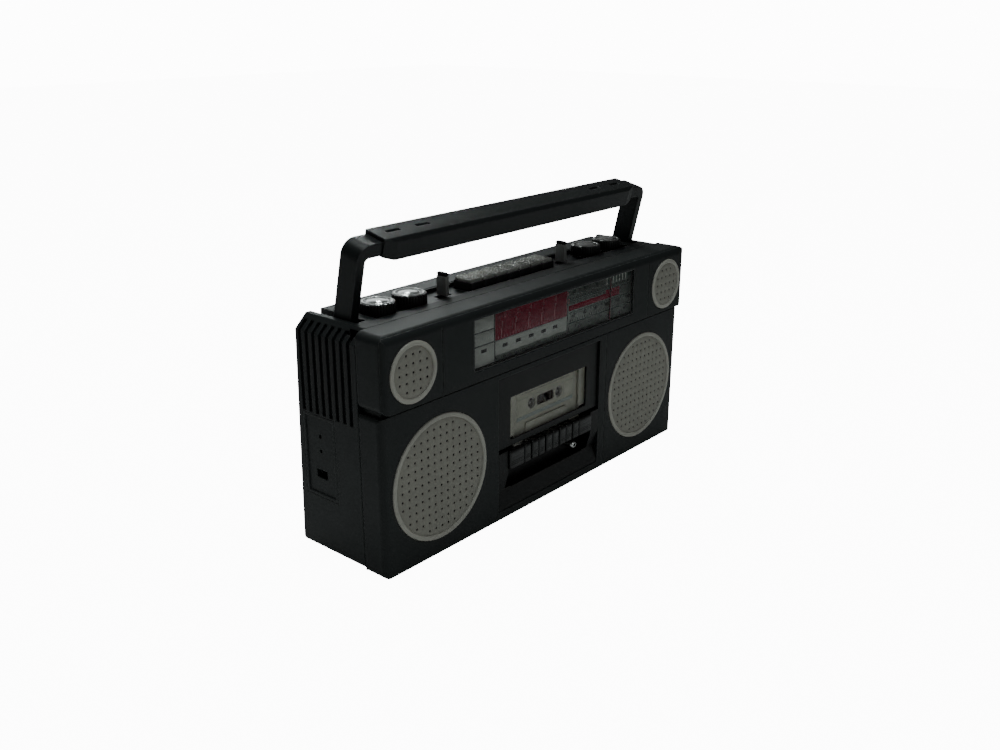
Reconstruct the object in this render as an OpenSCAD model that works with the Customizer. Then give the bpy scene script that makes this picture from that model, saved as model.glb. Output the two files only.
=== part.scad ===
// Portable stereo radio cassette player with four speakers and a carrying handle.
// The origin is on the surface it stands on, at the middle of its width and depth.
// X runs to the right, Y from front to back and Z up.

/* [Cabinet] */
// Width of the cabinet
body_w = 450; // [436:1:560]
// Height of the cabinet above its feet
body_h = 217.5; // [212:0.5:262]
// Depth of the cabinet at its base
depth_base = 109.5; // [106:0.5:132]
// Depth of the cabinet at its top
depth_top = 102; // [98:0.5:106]
// Depth of the front shell, up to the parting line
front_depth = 27; // [25:0.5:30]
// Thickness of the moulded walls
wall = 2.5; // [2:0.1:3.2]
// Radius of the upper corners, seen from the front
corner_r = 7; // [5:0.5:9]
// Radius of the lower corners, seen from the front
base_r = 4; // [3:0.5:6]
// Radius of the front edges, seen from above
front_r = 6; // [4:0.5:7]
// Radius of the tuner section's front top edge, seen from the side
brow_r = 8; // [5:0.5:9]
// Width and depth of the groove at the parting line
parting_groove = 0.8; // [0.4:0.1:1]
// Height of the lower front section
lower_h = 147.5; // [145:0.5:152]
// Height of the groove between the two front sections
groove_h = 3.5; // [2:0.5:5]
// Depth of that groove
groove_depth = 5; // [3:0.5:6]
// How far the tuner section stands in front of the lower one
tuner_proud = 4.9; // [3:0.1:6]
// Height of the rubber feet
foot_h = 2; // [1:0.5:4]
// Radius of the rubber feet
foot_r = 8; // [5:0.5:11]

/* [Side cheeks] */
// Bevel along the top of each cheek
cheek_bevel = 12; // [9:0.5:14]
// Number of grooves in each cheek
rib_count = 8; // [5:1:9]
// Spacing of the grooves
rib_pitch = 8.8; // [6:0.1:9]
// Width of a groove
rib_gap = 4.6; // [3:0.1:5]
// Depth of a groove
rib_depth = 3; // [2:0.1:3.5]
// Height of the grooves' lower end below the top
rib_drop = 84.5; // [60:0.5:90]

/* [Handle] */
// Distance between the outer faces of the handle's arms
handle_w = 413; // [380:1:420]
// Thickness of an arm
arm_t = 8.6; // [7:0.1:10]
// Width of an arm, seen from the side
arm_d = 21; // [16:0.5:23]
// Distance from the pivot to the top of the grip
handle_reach = 99.5; // [95:0.5:122]
// Height of the grip
grip_h = 20.2; // [16:0.1:23]
// Depth of the grip
grip_d = 30.8; // [26:0.1:34]
// Length of the grip
grip_w = 360; // [300:1:362]
// Height of the crossbar inside the grip
bar_h = 11.5; // [8:0.1:13]
// Depth of the pivot below the cabinet's top
pivot_drop = 27.5; // [25:0.5:30]
// Distance of the pivot behind the front face
pivot_y = 69; // [66:0.5:74]
// Forward lean of the handle on its stop, in degrees
handle_lean = 13; // [8:0.5:16]
// Radius of the pivot pins
pivot_r = 3; // [2:0.1:4]

/* [Speakers] */
// Radius of a woofer grille
woofer_r = 58.9; // [54:0.1:60]
// Distance of the woofer centres from the cabinet's side
woofer_side = 69.5; // [64:0.5:72]
// Height of the woofer centres
woofer_z = 73.6; // [68:0.1:78]
// Radius of a tweeter grille
tweeter_r = 27; // [22:0.1:28]
// Distance of the tweeter centres from the cabinet's side
tweeter_side = 34.6; // [31:0.1:38]
// Height of a grille's rim in front of its panel
grille_proud = 1.2; // [0.6:0.1:2]
// Depth of a woofer from its flange to its magnet
woofer_depth = 42; // [34:1:48]

/* [Tuner dial] */
// Width of the dial
dial_w = 247; // [200:1:250]
// Height of the dial
dial_h = 49; // [40:0.5:50]
// Offset of the dial to the right
dial_x = 6.2; // [0:0.1:8]
// Travel of the pointer
pointer_travel = 96; // [80:1:98]
// Distance from the pointer's stop on the left to where it rests
pointer_rest = 62; // [20:1:76]
// Thickness of the tuner panel
panel_t = 4; // [3.6:0.1:4.4]

/* [Top controls] */
// Distance of the controls' centre line behind the front face
control_y = 60; // [58:0.5:62]
// Depth of the trough that the controls stand in
trough_drop = 4; // [2:0.5:5]
// Front-to-back width of the trough
trough_w = 38; // [36:0.5:40]
// Length of the trough
trough_l = 375; // [370:1:378]
// Radius of a knob
knob_r = 16.2; // [12:0.1:16.4]
// Height of a knob
knob_h = 12.5; // [9:0.1:16]
// Distance of the outer knobs from the middle
outer_knob_x = 168.5; // [164:0.5:169]
// Distance of the inner knobs from the middle
inner_knob_x = 130.5; // [126:0.5:132]
// Radius of a knob's shaft
shaft_r = 3; // [2:0.1:3.5]
// Distance of the selector levers from the middle
lever_x = 88; // [84:0.5:92]
// Height of a lever above the cabinet's top
lever_h = 18.5; // [12:0.5:22]
// Travel of a lever to each side
lever_travel = 7; // [4:0.5:8]
// Number of selector keys
key_count = 7; // [7:1:7]
// Spacing of the selector keys
key_pitch = 17.6; // [14:0.1:18]
// Height of the selector keys above the cabinet's top
key_h = 6.5; // [5:0.5:10]
// Depth of the selector keys
key_d = 24; // [14:0.5:26]
// Travel of a selector key
key_travel = 4; // [2:0.5:5]

/* [Cassette deck] */
// Width of the cassette bay
bay_w = 158; // [150:1:160]
// Height of the bay's lower edge
bay_z0 = 8; // [6:0.5:9]
// Height of the bay's upper edge
bay_z1 = 143; // [142:0.5:143.5]
// Height of the cassette door's lower edge
door_z0 = 71; // [70.5:0.1:72]
// Distance of the door's face behind the front face
door_inset = 2.4; // [1.5:0.1:3]
// Thickness of the door
door_t = 3; // [2.5:0.1:3.4]
// Width of the door's window
window_w = 119; // [105:1:124]
// Height of the door's window
window_h = 43; // [38:0.5:46]
// Height of the window's lower edge
window_z0 = 77; // [77:0.5:80]
// Radius of the door's hinge pins
hinge_r = 2; // [1.5:0.1:2.4]
// Number of transport keys
tape_key_count = 6; // [6:1:6]
// Spacing of the transport keys
tape_key_pitch = 21.7; // [18:0.1:22]
// Height of the transport keys' lower edge
tape_key_z0 = 49; // [48:0.5:52]
// Height of the transport keys' upper edge
tape_key_z1 = 67.6; // [62:0.1:67.6]
// How far the transport keys stand in front of the front face
tape_key_proud = 2.5; // [1:0.1:4]
// Radius of the headphone jack
jack_r = 4.5; // [3.5:0.1:5]
// Radius of the flywheel
flywheel_r = 24; // [18:0.5:26]
// Radius of the motor's pulley
pulley_r = 5; // [3:0.1:6]

/* [Rear and power] */
// Width of the battery door
battery_w = 200; // [180:1:214]
// Height of the battery door
battery_h = 62; // [56:1:70]
// Height of the battery door's lower edge
battery_z0 = 12; // [10:1:14]
// Depth of the battery compartment
battery_d = 36; // [32:0.5:38]

/* [Fits] */
// Gap around a panel set into its opening
panel_gap = 0.3; // [0.2:0.05:0.5]
// Gap beside a moving key or lever
moving_gap = 0.5; // [0.3:0.05:0.8]
// Radial clearance of a turning pin or shaft
running_gap = 0.05; // [0.02:0.01:0.1]

/* [Hidden] */
$fn = 64;
eps = 0.01;
black = "#1c1e1e";
dark = "#141616";
soft_black = "#262929";
metal = "#a9a9a4";
silver = "#8f918b";

half_w = body_w / 2;
upper_z = lower_h + groove_h;
panel_face = -tuner_proud;
panel_back = panel_face + panel_t;
front_most = panel_face - grille_proud;
y_mid = (depth_base + front_most) / 2;
back_lean = atan((depth_base - depth_top) / body_h);

// Speakers
woofer_x = half_w - woofer_side;
tweeter_x = half_w - tweeter_side;
tweeter_z = (upper_z + body_h) / 2 - 2.95;
grille_t = 2.4;
woofer_hole = woofer_r - 5;
tweeter_hole = tweeter_r - 4;
flange_t = 2;

// Dial
dial_z0 = (upper_z + body_h) / 2 - 23.5;
dial_z1 = dial_z0 + dial_h;
dial_x0 = dial_x - dial_w / 2;
dial_x1 = dial_x + dial_w / 2;
lens_t = 1.2;
lens_face = panel_face + 0.2;
scale_t = 1.2;
scale_face = panel_back - scale_t;
dial_rim = 1.5;
pointer_t = 0.7;
pointer_y = scale_face - 0.3 - pointer_t;
pointer_slot_z = dial_z0 + dial_rim + 0.6;
pointer_foot = 1.4;
scale_x0 = dial_x1 - pointer_travel - 8;
pointer_x = scale_x0 + 2 + pointer_rest;

// Handle
arm_x = handle_w / 2;
arm_gap = 1.2;
slot_in = arm_x - arm_t - arm_gap;
slot_out = arm_x + arm_gap;
pivot_z = body_h - pivot_drop;
slot_floor = pivot_z - arm_d / 2 - 1.5;
slot_front = pivot_y - arm_d - 4;
slot_wall = 2;
bar_top = handle_reach - 3.5;
grip_notch = 14;

// Top controls
floor_z = body_h - trough_drop;
floor_t = 2;
flange_w = 3;
trough_y0 = control_y - trough_w / 2;
trough_y1 = control_y + trough_w / 2;
board_z = body_h - 28;
board_t = 1.6;
pot_r = 8;
pot_h = 14;
key_y0 = control_y - key_d / 2;
key_foot_z = floor_z - 8;
lever_t = 4.6;
lever_d = 12;
stem_t = 3;
stem_d = 6;

// Cassette deck
half_bay = bay_w / 2;
door_z1 = bay_z1 - 0.8;
door_y1 = door_inset + door_t;
hinge_y = door_y1 + 1.8;
hinge_z = door_z0 + 2;
cassette_w = 100.4;
cassette_h = 63.8;
cassette_t = 8.7;
cassette_thick = 12;
cassette_z0 = 68.2;
cassette_y = door_y1 + 6.95;
hub_spacing = 42.5;
hub_z = cassette_z0 + 33.8;
hub_hole_r = 4.8;
spindle_r = 2.2;
chassis_y = 21;
chassis_t = 1.6;
capstan_x = 23;
capstan_z = cassette_z0 + 5.2;
capstan_r = 1.1;
flywheel_y = 41;
flywheel_t = 6;
motor_x = -42;
motor_z = 100;
motor_r = 15;
key_pivot_y = 34;
key_pivot_z = 51.5;
key_shaft_r = 2;
carriage_rise = 6;
tape_key_w = tape_key_pitch - moving_gap;
tape_key_span = tape_key_count * tape_key_pitch;
jack_x = 46;
jack_z = 36.5;
cavity_z0 = 27;
cavity_z1 = tape_key_z0 - 0.6;
cavity_half = 57;

// Sockets on the left side
socket_y0 = 58;
socket_y1 = 100;
socket_z0 = 54;
socket_z1 = 132;
socket_t = 3;
socket_r = 1.8;
socket_lip = 5;
inlet_y = (socket_y0 + socket_y1) / 2;
inlet_z = 76;
LINE_SOCKETS = [98, 112];

// Battery compartment
battery_seat = 3;
battery_lid_t = 2.9;
battery_lip = 4;
battery_pin_r = 1;
battery_hinge_z = battery_z0 + panel_gap + 0.2 + battery_lid_t / 2;

// Fasteners
post_r = 4.5;
screw_r = 1.5;
screw_head_r = 3;
screw_seat = 8;
POSTS = [
    [-half_w + 12, 12], [half_w - 12, 12],
    [-half_w + 12, lower_h - 8], [half_w - 12, lower_h - 8],
    [-150, upper_z + 12], [150, upper_z + 12]
];

// ---- Shapes that several pieces share ----

function back_y(z) = depth_base - (depth_base - depth_top) * z / body_h;

// Rear end of the battery compartment, where its lip begins
battery_y1 = back_y(battery_z0 + battery_h) - battery_seat - 2;

// Moves what is drawn from the front face and the cabinet's base to the origin
module in_frame() {
    translate([0, -y_mid, foot_h]) children();
}

// Draws on the leaning rear face, with Y measured outwards from it
module on_back() {
    translate([0, depth_base, 0]) rotate([back_lean, 0, 0]) children();
}

// A rectangle with round corners
module rounded(w, h, r = 0) {
    if (r > 0) {
        translate([r, 0]) square([w - 2 * r, h]);
        translate([0, r]) square([w, h - 2 * r]);
        for (x = [r, w - r])
            for (y = [r, h - r])
                translate([x, y]) circle(r = r);
    } else {
        square([w, h]);
    }
}

// A block from y0 back to y1 whose outline is seen from the front
module slab(x0, x1, z0, z1, y0, y1, r = 0) {
    translate([0, y1, 0]) rotate([90, 0, 0]) linear_extrude(y1 - y0)
        translate([x0, z0]) rounded(x1 - x0, z1 - z0, r);
}

// An outline in Y and Z, drawn out along X
module along_x(x0, x1, points) {
    translate([x0, 0, 0]) rotate([90, 0, 90]) linear_extrude(x1 - x0) polygon(points);
}

// An outline in X and Z, drawn out along Y
module along_y(y0, y1, points) {
    translate([0, y1, 0]) rotate([90, 0, 0]) linear_extrude(y1 - y0) polygon(points);
}

module rod_x(x0, x1, y, z, r) {
    translate([x0, y, z]) rotate([0, 90, 0]) cylinder(h = x1 - x0, r = r);
}

module rod_y(x, z, y0, y1, r, r2 = -1) {
    translate([x, y0, z]) rotate([-90, 0, 0]) cylinder(h = y1 - y0, r1 = r, r2 = r2 < 0 ? r : r2);
}

module rod_z(x, y, z0, z1, r, r2 = -1) {
    translate([x, y, z0]) cylinder(h = z1 - z0, r1 = r, r2 = r2 < 0 ? r : r2);
}

module both_sides() {
    children();
    mirror([1, 0, 0]) children();
}

// ---- Casing ----

// Rounds the front edges of what is drawn, seen from above, back from a face at y0
module round_front(y0) {
    intersection() {
        children();
        translate([-half_w, y0, -1]) linear_extrude(body_h + 2) union() {
            translate([0, front_r]) square([body_w, depth_base]);
            translate([front_r, 0]) square([body_w - 2 * front_r, depth_base]);
            for (x = [front_r, body_w - front_r]) translate([x, front_r]) circle(r = front_r);
        }
    }
}

// Rounds the tuner section's top edge, seen from the side
module round_brow() {
    intersection() {
        children();
        translate([-half_w - 1, 0, 0]) rotate([90, 0, 90]) linear_extrude(body_w + 2) union() {
            translate([panel_face, 0]) square([depth_base, body_h - brow_r]);
            translate([panel_face + brow_r, 0]) square([depth_base, body_h]);
            translate([panel_face + brow_r, body_h - brow_r]) circle(r = brow_r);
        }
    }
}

module front_shell_outside() {
    step = parting_groove;
    round_front(0) {
        slab(-half_w, half_w, 0, lower_h, 0, front_depth - step, base_r);
    }
    round_brow() round_front(panel_face) {
        slab(-half_w, half_w, upper_z, body_h, panel_back, front_depth - step, corner_r);
    }
    slab(-half_w + step, half_w - step, step, lower_h - step, front_depth - step - 1, front_depth);
    slab(-half_w + step, half_w - step, upper_z + step, body_h - step, front_depth - step - 1,
        front_depth, corner_r - step);
    slab(-half_w + groove_depth, half_w - groove_depth, lower_h - 1, upper_z + 1,
        groove_depth, front_depth);
}

module front_shell_inside() {
    slab(-half_w + wall, half_w - wall, wall, lower_h - wall, wall, front_depth + 1);
    slab(-half_w + wall, half_w - wall, upper_z + wall, body_h - wall,
        panel_back + wall, front_depth + 1, corner_r - wall);
    slab(-half_w + groove_depth + wall, half_w - groove_depth - wall,
        lower_h - wall - 1, upper_z + wall + 1, groove_depth + wall, front_depth + 1);
}

// Bosses for the cabinet screws and the walls of the cassette bay
module front_shell_fittings() {
    for (p = POSTS) rod_y(p[0], p[1], 0, front_depth, post_r);
    both_sides() slab(half_bay, half_bay + wall, bay_z0 - wall, lower_h - wall,
        wall - eps, front_depth - 4);
    slab(-half_bay - wall, half_bay + wall, bay_z0 - wall, bay_z0, wall - eps, front_depth - 4);
}

module front_cabinet() {
    color(black) in_frame() difference() {
        front_shell_outside();
        difference() {
            front_shell_inside();
            front_shell_fittings();
        }
        both_sides() {
            rod_y(woofer_x, woofer_z, -1, wall + 1, woofer_hole);
            rod_y(woofer_x, woofer_z, -1, grille_t - grille_proud, woofer_r + panel_gap);
            rod_y(tweeter_x, tweeter_z, panel_back - 1, panel_back + wall + 1, tweeter_hole);
            rod_x(half_bay - 1, half_bay + wall + 1, hinge_y, hinge_z, hinge_r + running_gap);
        }
        slab(-half_bay, half_bay, bay_z0, bay_z1, -1, wall + 1);
        slab(half_bay + 11, half_bay + 11.8, -1, lower_h + 1, -1, 0.6);
        slab(dial_x0 + 6, dial_x1 - 3, dial_z0 + dial_rim, dial_z1 - 3,
            panel_back - 1, panel_back + wall + 1);
        for (p = POSTS)
            rod_y(p[0], p[1], front_depth - 14, front_depth + 1, screw_r + running_gap);
    }
}

module tuner_panel() {
    color(black) in_frame() difference() {
        round_brow() round_front(panel_face) {
            slab(-half_w, half_w, upper_z, body_h, panel_face, panel_back - 0.15, corner_r);
        }
        both_sides() {
            rod_y(tweeter_x, tweeter_z, panel_face - 1, panel_back + 1, tweeter_hole);
            rod_y(tweeter_x, tweeter_z, panel_face - 1, panel_face + grille_t - grille_proud,
                tweeter_r + panel_gap);
            slab(woofer_x + 0.3, woofer_x + 1.1, upper_z + 3, body_h - 1,
                panel_face - 1, panel_face + 0.6);
        }
        slab(dial_x0, dial_x1, dial_z0, dial_z1, panel_face - 1, panel_back + 1, 3);
    }
}

module rear_block(inset) {
    intersection() {
        slab(-half_w + inset, half_w - inset, inset, body_h - inset,
            front_depth - (inset > 0 ? 1 : 0), depth_base + 1, corner_r - inset);
        along_x(-half_w, half_w, [
            [front_depth - 2, -1],
            [back_y(-1) - inset / cos(back_lean), -1],
            [back_y(body_h + 1) - inset / cos(back_lean), body_h + 1],
            [front_depth - 2, body_h + 1]
        ]);
    }
}

// The groove of one rib: it runs up the cheek and on over its bevel
module rib_groove(y) {
    top = body_h - 4;
    along_y(y, y + rib_gap, [
        [half_w + 1, body_h - rib_drop],
        [half_w - rib_depth, body_h - rib_drop],
        [half_w - rib_depth, body_h - cheek_bevel - rib_depth * 0.4],
        [half_w - cheek_bevel + 4 - rib_depth * 0.7, top - rib_depth * 0.7],
        [half_w - cheek_bevel + 5, top + 1],
        [half_w + 1, body_h - cheek_bevel + 1]
    ]);
}

// Walls that the rear shell holds inside
module rear_shell_fittings() {
    intersection() {
        rear_block(eps);
        union() {
            for (p = POSTS) rod_y(p[0], p[1], front_depth, depth_base, post_r);
            both_sides() slab(slot_in - slot_wall, half_w, slot_floor - slot_wall, body_h,
                slot_front - slot_wall, depth_base + 1);
            both_sides() slab(half_w - rib_depth - wall, half_w, body_h - rib_drop - wall, body_h,
                front_depth, depth_base + 1);
            difference() {
                union() {
                    slab(-battery_w / 2 - 1, battery_w / 2 + 1, 0, battery_z0 + battery_h + 1,
                        depth_base - battery_d - wall, depth_base);
                    slab(-battery_w / 2 - 5, battery_w / 2 + 5, battery_z0 - 5,
                        battery_z0 + battery_h + 5, battery_y1 - 2, depth_base);
                }
                slab(-battery_w / 2 + 1, battery_w / 2 - 1, battery_z0 + 1,
                    battery_z0 + battery_h - 1, depth_base - battery_d, battery_y1);
            }
            slab(-half_w, -half_w + 7, socket_z0 - 4, socket_z1 + 4, socket_y0 - 4, socket_y1 + 2);
        }
    }
}

module rear_cabinet() {
    color(black) in_frame() difference() {
        rear_block(0);
        difference() {
            rear_block(wall);
            rear_shell_fittings();
        }
        // Bevelled, ribbed cheeks with the handle's slots inside them
        both_sides() {
            along_y(front_depth - 1, depth_base + 1, [
                [half_w + 1, body_h - cheek_bevel - 1],
                [half_w + 1, body_h + 1],
                [half_w - cheek_bevel - 1, body_h + 1]
            ]);
            for (i = [0 : rib_count - 1]) rib_groove(front_depth + 6 + i * rib_pitch);
            slab(slot_in, slot_out, slot_floor, body_h + 1, slot_front, depth_base + 1);
            rod_x(slot_in - slot_wall - 1, slot_out + 5, pivot_y, pivot_z, pivot_r + running_gap);
        }
        // Opening for the control trough
        translate([-trough_l / 2, trough_y0, body_h - wall - 1]) cube([trough_l, trough_w, wall + 2]);
        // Seat and opening for the battery door
        on_back() {
            translate([-battery_w / 2, -battery_seat, battery_z0])
                cube([battery_w, battery_seat + 1, battery_h]);
            translate([-battery_w / 2 + battery_lip, -9, battery_z0 + battery_lip])
                cube([battery_w - 2 * battery_lip, 10, battery_h - 2 * battery_lip]);
            both_sides() rod_x(battery_w / 2 - 1, battery_w / 2 + 4, -battery_lid_t / 2,
                battery_hinge_z, battery_pin_r + running_gap);
        }
        // Seat and opening for the socket panel
        translate([-half_w - 1, socket_y0, socket_z0])
            cube([socket_t + 1, socket_y1 - socket_y0, socket_z1 - socket_z0]);
        translate([-half_w - 1, socket_y0 + socket_lip, socket_z0 + socket_lip])
            cube([12, socket_y1 - socket_y0 - 2 * socket_lip, socket_z1 - socket_z0 - 2 * socket_lip]);
        // Screw holes with their driver bores
        for (p = POSTS) {
            rod_y(p[0], p[1], front_depth - 1, depth_base + 1, screw_r + 0.2);
            rod_y(p[0], p[1], front_depth + screw_seat, depth_base + 1, screw_head_r + 0.4);
        }
    }
}

module control_trough() {
    color(soft_black) in_frame() difference() {
        union() {
            translate([-trough_l / 2 + panel_gap, trough_y0 + panel_gap, floor_z - floor_t])
                cube([trough_l - 2 * panel_gap, trough_w - 2 * panel_gap,
                    body_h - floor_z + floor_t - 0.4]);
            translate([-trough_l / 2 - flange_w, trough_y0 - flange_w, body_h - wall - 1.7])
                cube([trough_l + 2 * flange_w, trough_w + 2 * flange_w, 1.7]);
            for (x = [-110, 110])
                for (y = [trough_y0 + 6, trough_y1 - 6])
                    rod_z(x, y, board_z + board_t, floor_z, 3);
        }
        translate([-trough_l / 2 + 2, trough_y0 + 2, floor_z])
            cube([trough_l - 4, trough_w - 4, trough_drop + 1]);
        for (x = [-outer_knob_x, -inner_knob_x, inner_knob_x, outer_knob_x])
            rod_z(x, control_y, floor_z - floor_t - 1, floor_z + 1, shaft_r + running_gap);
        both_sides() translate([lever_x - lever_travel - stem_t / 2 - moving_gap,
                control_y - stem_d / 2 - moving_gap, floor_z - floor_t - 1])
            cube([2 * lever_travel + stem_t + 2 * moving_gap, stem_d + 2 * moving_gap, floor_t + 2]);
        translate([-key_count * key_pitch / 2, key_y0 - moving_gap, floor_z - floor_t - 1])
            cube([key_count * key_pitch, key_d + 2 * moving_gap, floor_t + 2]);
    }
}

// Plate on the left side with the mains inlet and two line sockets
module socket_panel() {
    color(dark) in_frame() difference() {
        union() {
            translate([-half_w, socket_y0 + panel_gap, socket_z0 + panel_gap])
                cube([socket_t, socket_y1 - socket_y0 - 2 * panel_gap,
                    socket_z1 - socket_z0 - 2 * panel_gap]);
            translate([-half_w + 1, inlet_y - 10, inlet_z - 7]) cube([15, 20, 14]);
            for (z = LINE_SOCKETS) rod_x(-half_w + 1, -half_w + 14, inlet_y, z, 5);
        }
        translate([-half_w - 1, socket_y0 + 3, socket_z0 + 3])
            cube([2, socket_y1 - socket_y0 - 6, socket_z1 - socket_z0 - 6]);
        translate([-half_w - 1, inlet_y - 7, inlet_z - 4]) cube([13, 14, 8]);
        for (z = LINE_SOCKETS) rod_x(-half_w - 1, -half_w + 11, inlet_y, z, socket_r);
    }
    color(metal) in_frame() for (s = [-1, 1])
        rod_x(-half_w + 4, -half_w + 13, inlet_y + s * 4.3, inlet_z, 0.9);
}

module feet() {
    color(dark) in_frame() both_sides()
        for (y = [16, depth_base - 20])
            rod_z(half_w - 30, y, -foot_h, 0, foot_r - 1, foot_r);
}

module cabinet_screws() {
    color(metal) in_frame() for (p = POSTS) {
        rod_y(p[0], p[1], front_depth - 12, front_depth + screw_seat + 0.5, screw_r);
        difference() {
            rod_y(p[0], p[1], front_depth + screw_seat, front_depth + screw_seat + 2.4,
                screw_head_r);
            for (a = [0, 90])
                translate([p[0], front_depth + screw_seat + 1.4, p[1]]) rotate([0, a, 0])
                    translate([-2, 0, -0.4]) cube([4, 2, 0.8]);
        }
    }
}

// Bezel below the door: end blocks, the hollow under the keys and the sloping ledge
module key_bezel() {
    z0 = bay_z0 + panel_gap;
    z1 = door_z0 - 2.6;
    x1 = half_bay - panel_gap;
    keys_x = tape_key_span / 2 + moving_gap;
    color(soft_black) in_frame() difference() {
        along_x(-x1, x1, [[0.6, z0], [0.6, z0 + 4], [4.6, cavity_z0], [0, cavity_z1 - 4],
            [0, z1], [18, z1], [18, z0]]);
        slab(-keys_x, keys_x, cavity_z0 + 1, z1 + 1, -1, 19);
        slab(-cavity_half, cavity_half, cavity_z0, cavity_z1, -1, 16);
    }
    color(soft_black) in_frame()
        slab(-keys_x - 1, keys_x + 1, cavity_z0 - 1, tape_key_z0 - 5.5, 16, 18);
}

// ---- Speakers ----

module grille(x, z, r, face) {
    color(silver) in_frame() difference() {
        rod_y(x, z, face - grille_proud, face - grille_proud + grille_t, r);
        rod_y(x, z, face - grille_proud - 1, face - grille_proud + 0.9, r - 3.2);
    }
}

module woofer(x) {
    y0 = wall;
    magnet_y = y0 + woofer_depth - 12;
    color(dark) in_frame() {
        difference() {
            union() {
                rod_y(x, woofer_z, y0, y0 + flange_t, woofer_r - 1);
                rod_y(x, woofer_z, y0 + flange_t, magnet_y, woofer_hole, 22);
            }
            rod_y(x, woofer_z, y0 - 1, y0 + 4, woofer_hole - 3.5);
            rod_y(x, woofer_z, y0 + 4 - eps, magnet_y - 3, woofer_hole - 3.5, 12);
        }
        rod_y(x, woofer_z, y0 + 9, magnet_y, 13, 13);
        rod_y(x, woofer_z, magnet_y, magnet_y + 12, 30);
    }
}

module tweeter(x) {
    y0 = panel_back + wall;
    color(dark) in_frame() {
        difference() {
            rod_y(x, tweeter_z, y0, y0 + 3, tweeter_r - 1);
            rod_y(x, tweeter_z, y0 - 1, y0 + 1.6, tweeter_hole - 2);
        }
        rod_y(x, tweeter_z, y0 + 1, y0 + 16, 14);
    }
}

module left_woofer_grille() { grille(-woofer_x, woofer_z, woofer_r, 0); }
module right_woofer_grille() { grille(woofer_x, woofer_z, woofer_r, 0); }
module left_tweeter_grille() { grille(-tweeter_x, tweeter_z, tweeter_r, panel_face); }
module right_tweeter_grille() { grille(tweeter_x, tweeter_z, tweeter_r, panel_face); }
module left_woofer() { woofer(-woofer_x); }
module right_woofer() { woofer(woofer_x); }
module left_tweeter() { tweeter(-tweeter_x); }
module right_tweeter() { tweeter(tweeter_x); }

// ---- Tuner dial ----

module dial_scale() {
    g = panel_gap / 2;
    color(silver) in_frame() difference() {
        slab(dial_x0 + g, dial_x1 - g, dial_z0 + g, dial_z1 - g,
            lens_face + lens_t, panel_back, 3 - g);
        slab(dial_x0 + dial_rim, dial_x1 - dial_rim, dial_z0 + dial_rim, dial_z1 - dial_rim,
            lens_face - 1, scale_face, 2);
        slab(scale_x0, dial_x1 - dial_rim - 1, pointer_slot_z, pointer_slot_z + pointer_foot + 1,
            scale_face - 1, panel_back + 1);
    }
}

module dial_lens() {
    g = panel_gap / 2;
    color([0.8, 0.85, 0.85, 0.3]) in_frame()
        slab(dial_x0 + g, dial_x1 - g, dial_z0 + g, dial_z1 - g,
            lens_face, lens_face + lens_t, 3 - g);
}

module dial_pointer() {
    foot_z = pointer_slot_z + 0.5;
    color("#b02020") in_frame() {
        slab(pointer_x - 0.6, pointer_x + 0.6, foot_z, dial_z1 - dial_rim - 2,
            pointer_y, pointer_y + pointer_t);
        slab(pointer_x - 0.6, pointer_x + 0.6, foot_z, foot_z + pointer_foot,
            pointer_y, panel_back + wall + 4);
        slab(pointer_x - 1.8, pointer_x + 1.8, foot_z - 0.2, foot_z + 6,
            panel_back + wall + 1, panel_back + wall + 4);
    }
}

// ---- Top controls ----

module knob(x) {
    base = floor_z + 0.6;
    color(dark) in_frame() {
        difference() {
            rod_z(x, control_y, base, base + knob_h, knob_r, knob_r - 0.5);
            for (a = [0 : 15 : 345])
                translate([x, control_y, base - 1]) rotate([0, 0, a]) translate([knob_r + 0.4, 0, 0])
                    cylinder(h = knob_h - 1.6, r = 1.2, $fn = 24);
            rod_z(x, control_y, base + knob_h - 0.6, base + knob_h + 1, knob_r - 4);
        }
        rod_z(x, control_y, board_z + board_t + 4, base + 1, shaft_r);
    }
}

module volume_knob() { knob(-outer_knob_x); }
module balance_knob() { knob(-inner_knob_x); }
module tone_knob() { knob(inner_knob_x); }
module tuning_knob() { knob(outer_knob_x); }

module selector_lever(x) {
    color(soft_black) in_frame() {
        translate([x - lever_t / 2, control_y - lever_d / 2, floor_z + 0.4])
            cube([lever_t, lever_d, trough_drop + lever_h - 0.4]);
        translate([x - stem_t / 2, control_y - stem_d / 2, floor_z - 8])
            cube([stem_t, stem_d, 9]);
    }
}

module function_lever() { selector_lever(-lever_x); }
module band_lever() { selector_lever(lever_x); }

module selector_key(i) {
    x = (i - (key_count + 1) / 2) * key_pitch;
    w = key_pitch - moving_gap;
    color(silver) in_frame() {
        along_x(x - w / 2, x + w / 2, [[key_y0, key_foot_z], [key_y0, body_h + key_h - 1.5],
            [key_y0 + 2, body_h + key_h], [key_y0 + key_d - 1, body_h + key_h + 1.5],
            [key_y0 + key_d, body_h + key_h], [key_y0 + key_d, key_foot_z]]);
    }
}

module selector_key_1() { selector_key(1); }
module selector_key_2() { selector_key(2); }
module selector_key_3() { selector_key(3); }
module selector_key_4() { selector_key(4); }
module selector_key_5() { selector_key(5); }
module selector_key_6() { selector_key(6); }
module selector_key_7() { selector_key(7); }

// ---- Cassette deck ----

module cassette_door() {
    x1 = half_bay - panel_gap - 0.3;
    wx = window_w / 2;
    color(black) in_frame() {
        difference() {
            slab(-x1, x1, door_z0, door_z1, door_inset, door_y1, 1);
            slab(-wx, wx, window_z0, window_z0 + window_h, door_inset - 1, door_y1 + 1, 2);
            slab(-wx - 2, wx + 2, window_z0 - 2, window_z0 + window_h + 2,
                door_inset + 1.2, door_y1 + 1, 3);
        }
        both_sides() {
            slab(x1 - 7, x1 - 1, door_z0, hinge_z + 4, door_y1 - eps, hinge_y + 3.2);
            rod_x(x1 - 2, half_bay + wall, hinge_y, hinge_z, hinge_r);
        }
    }
}

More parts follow.
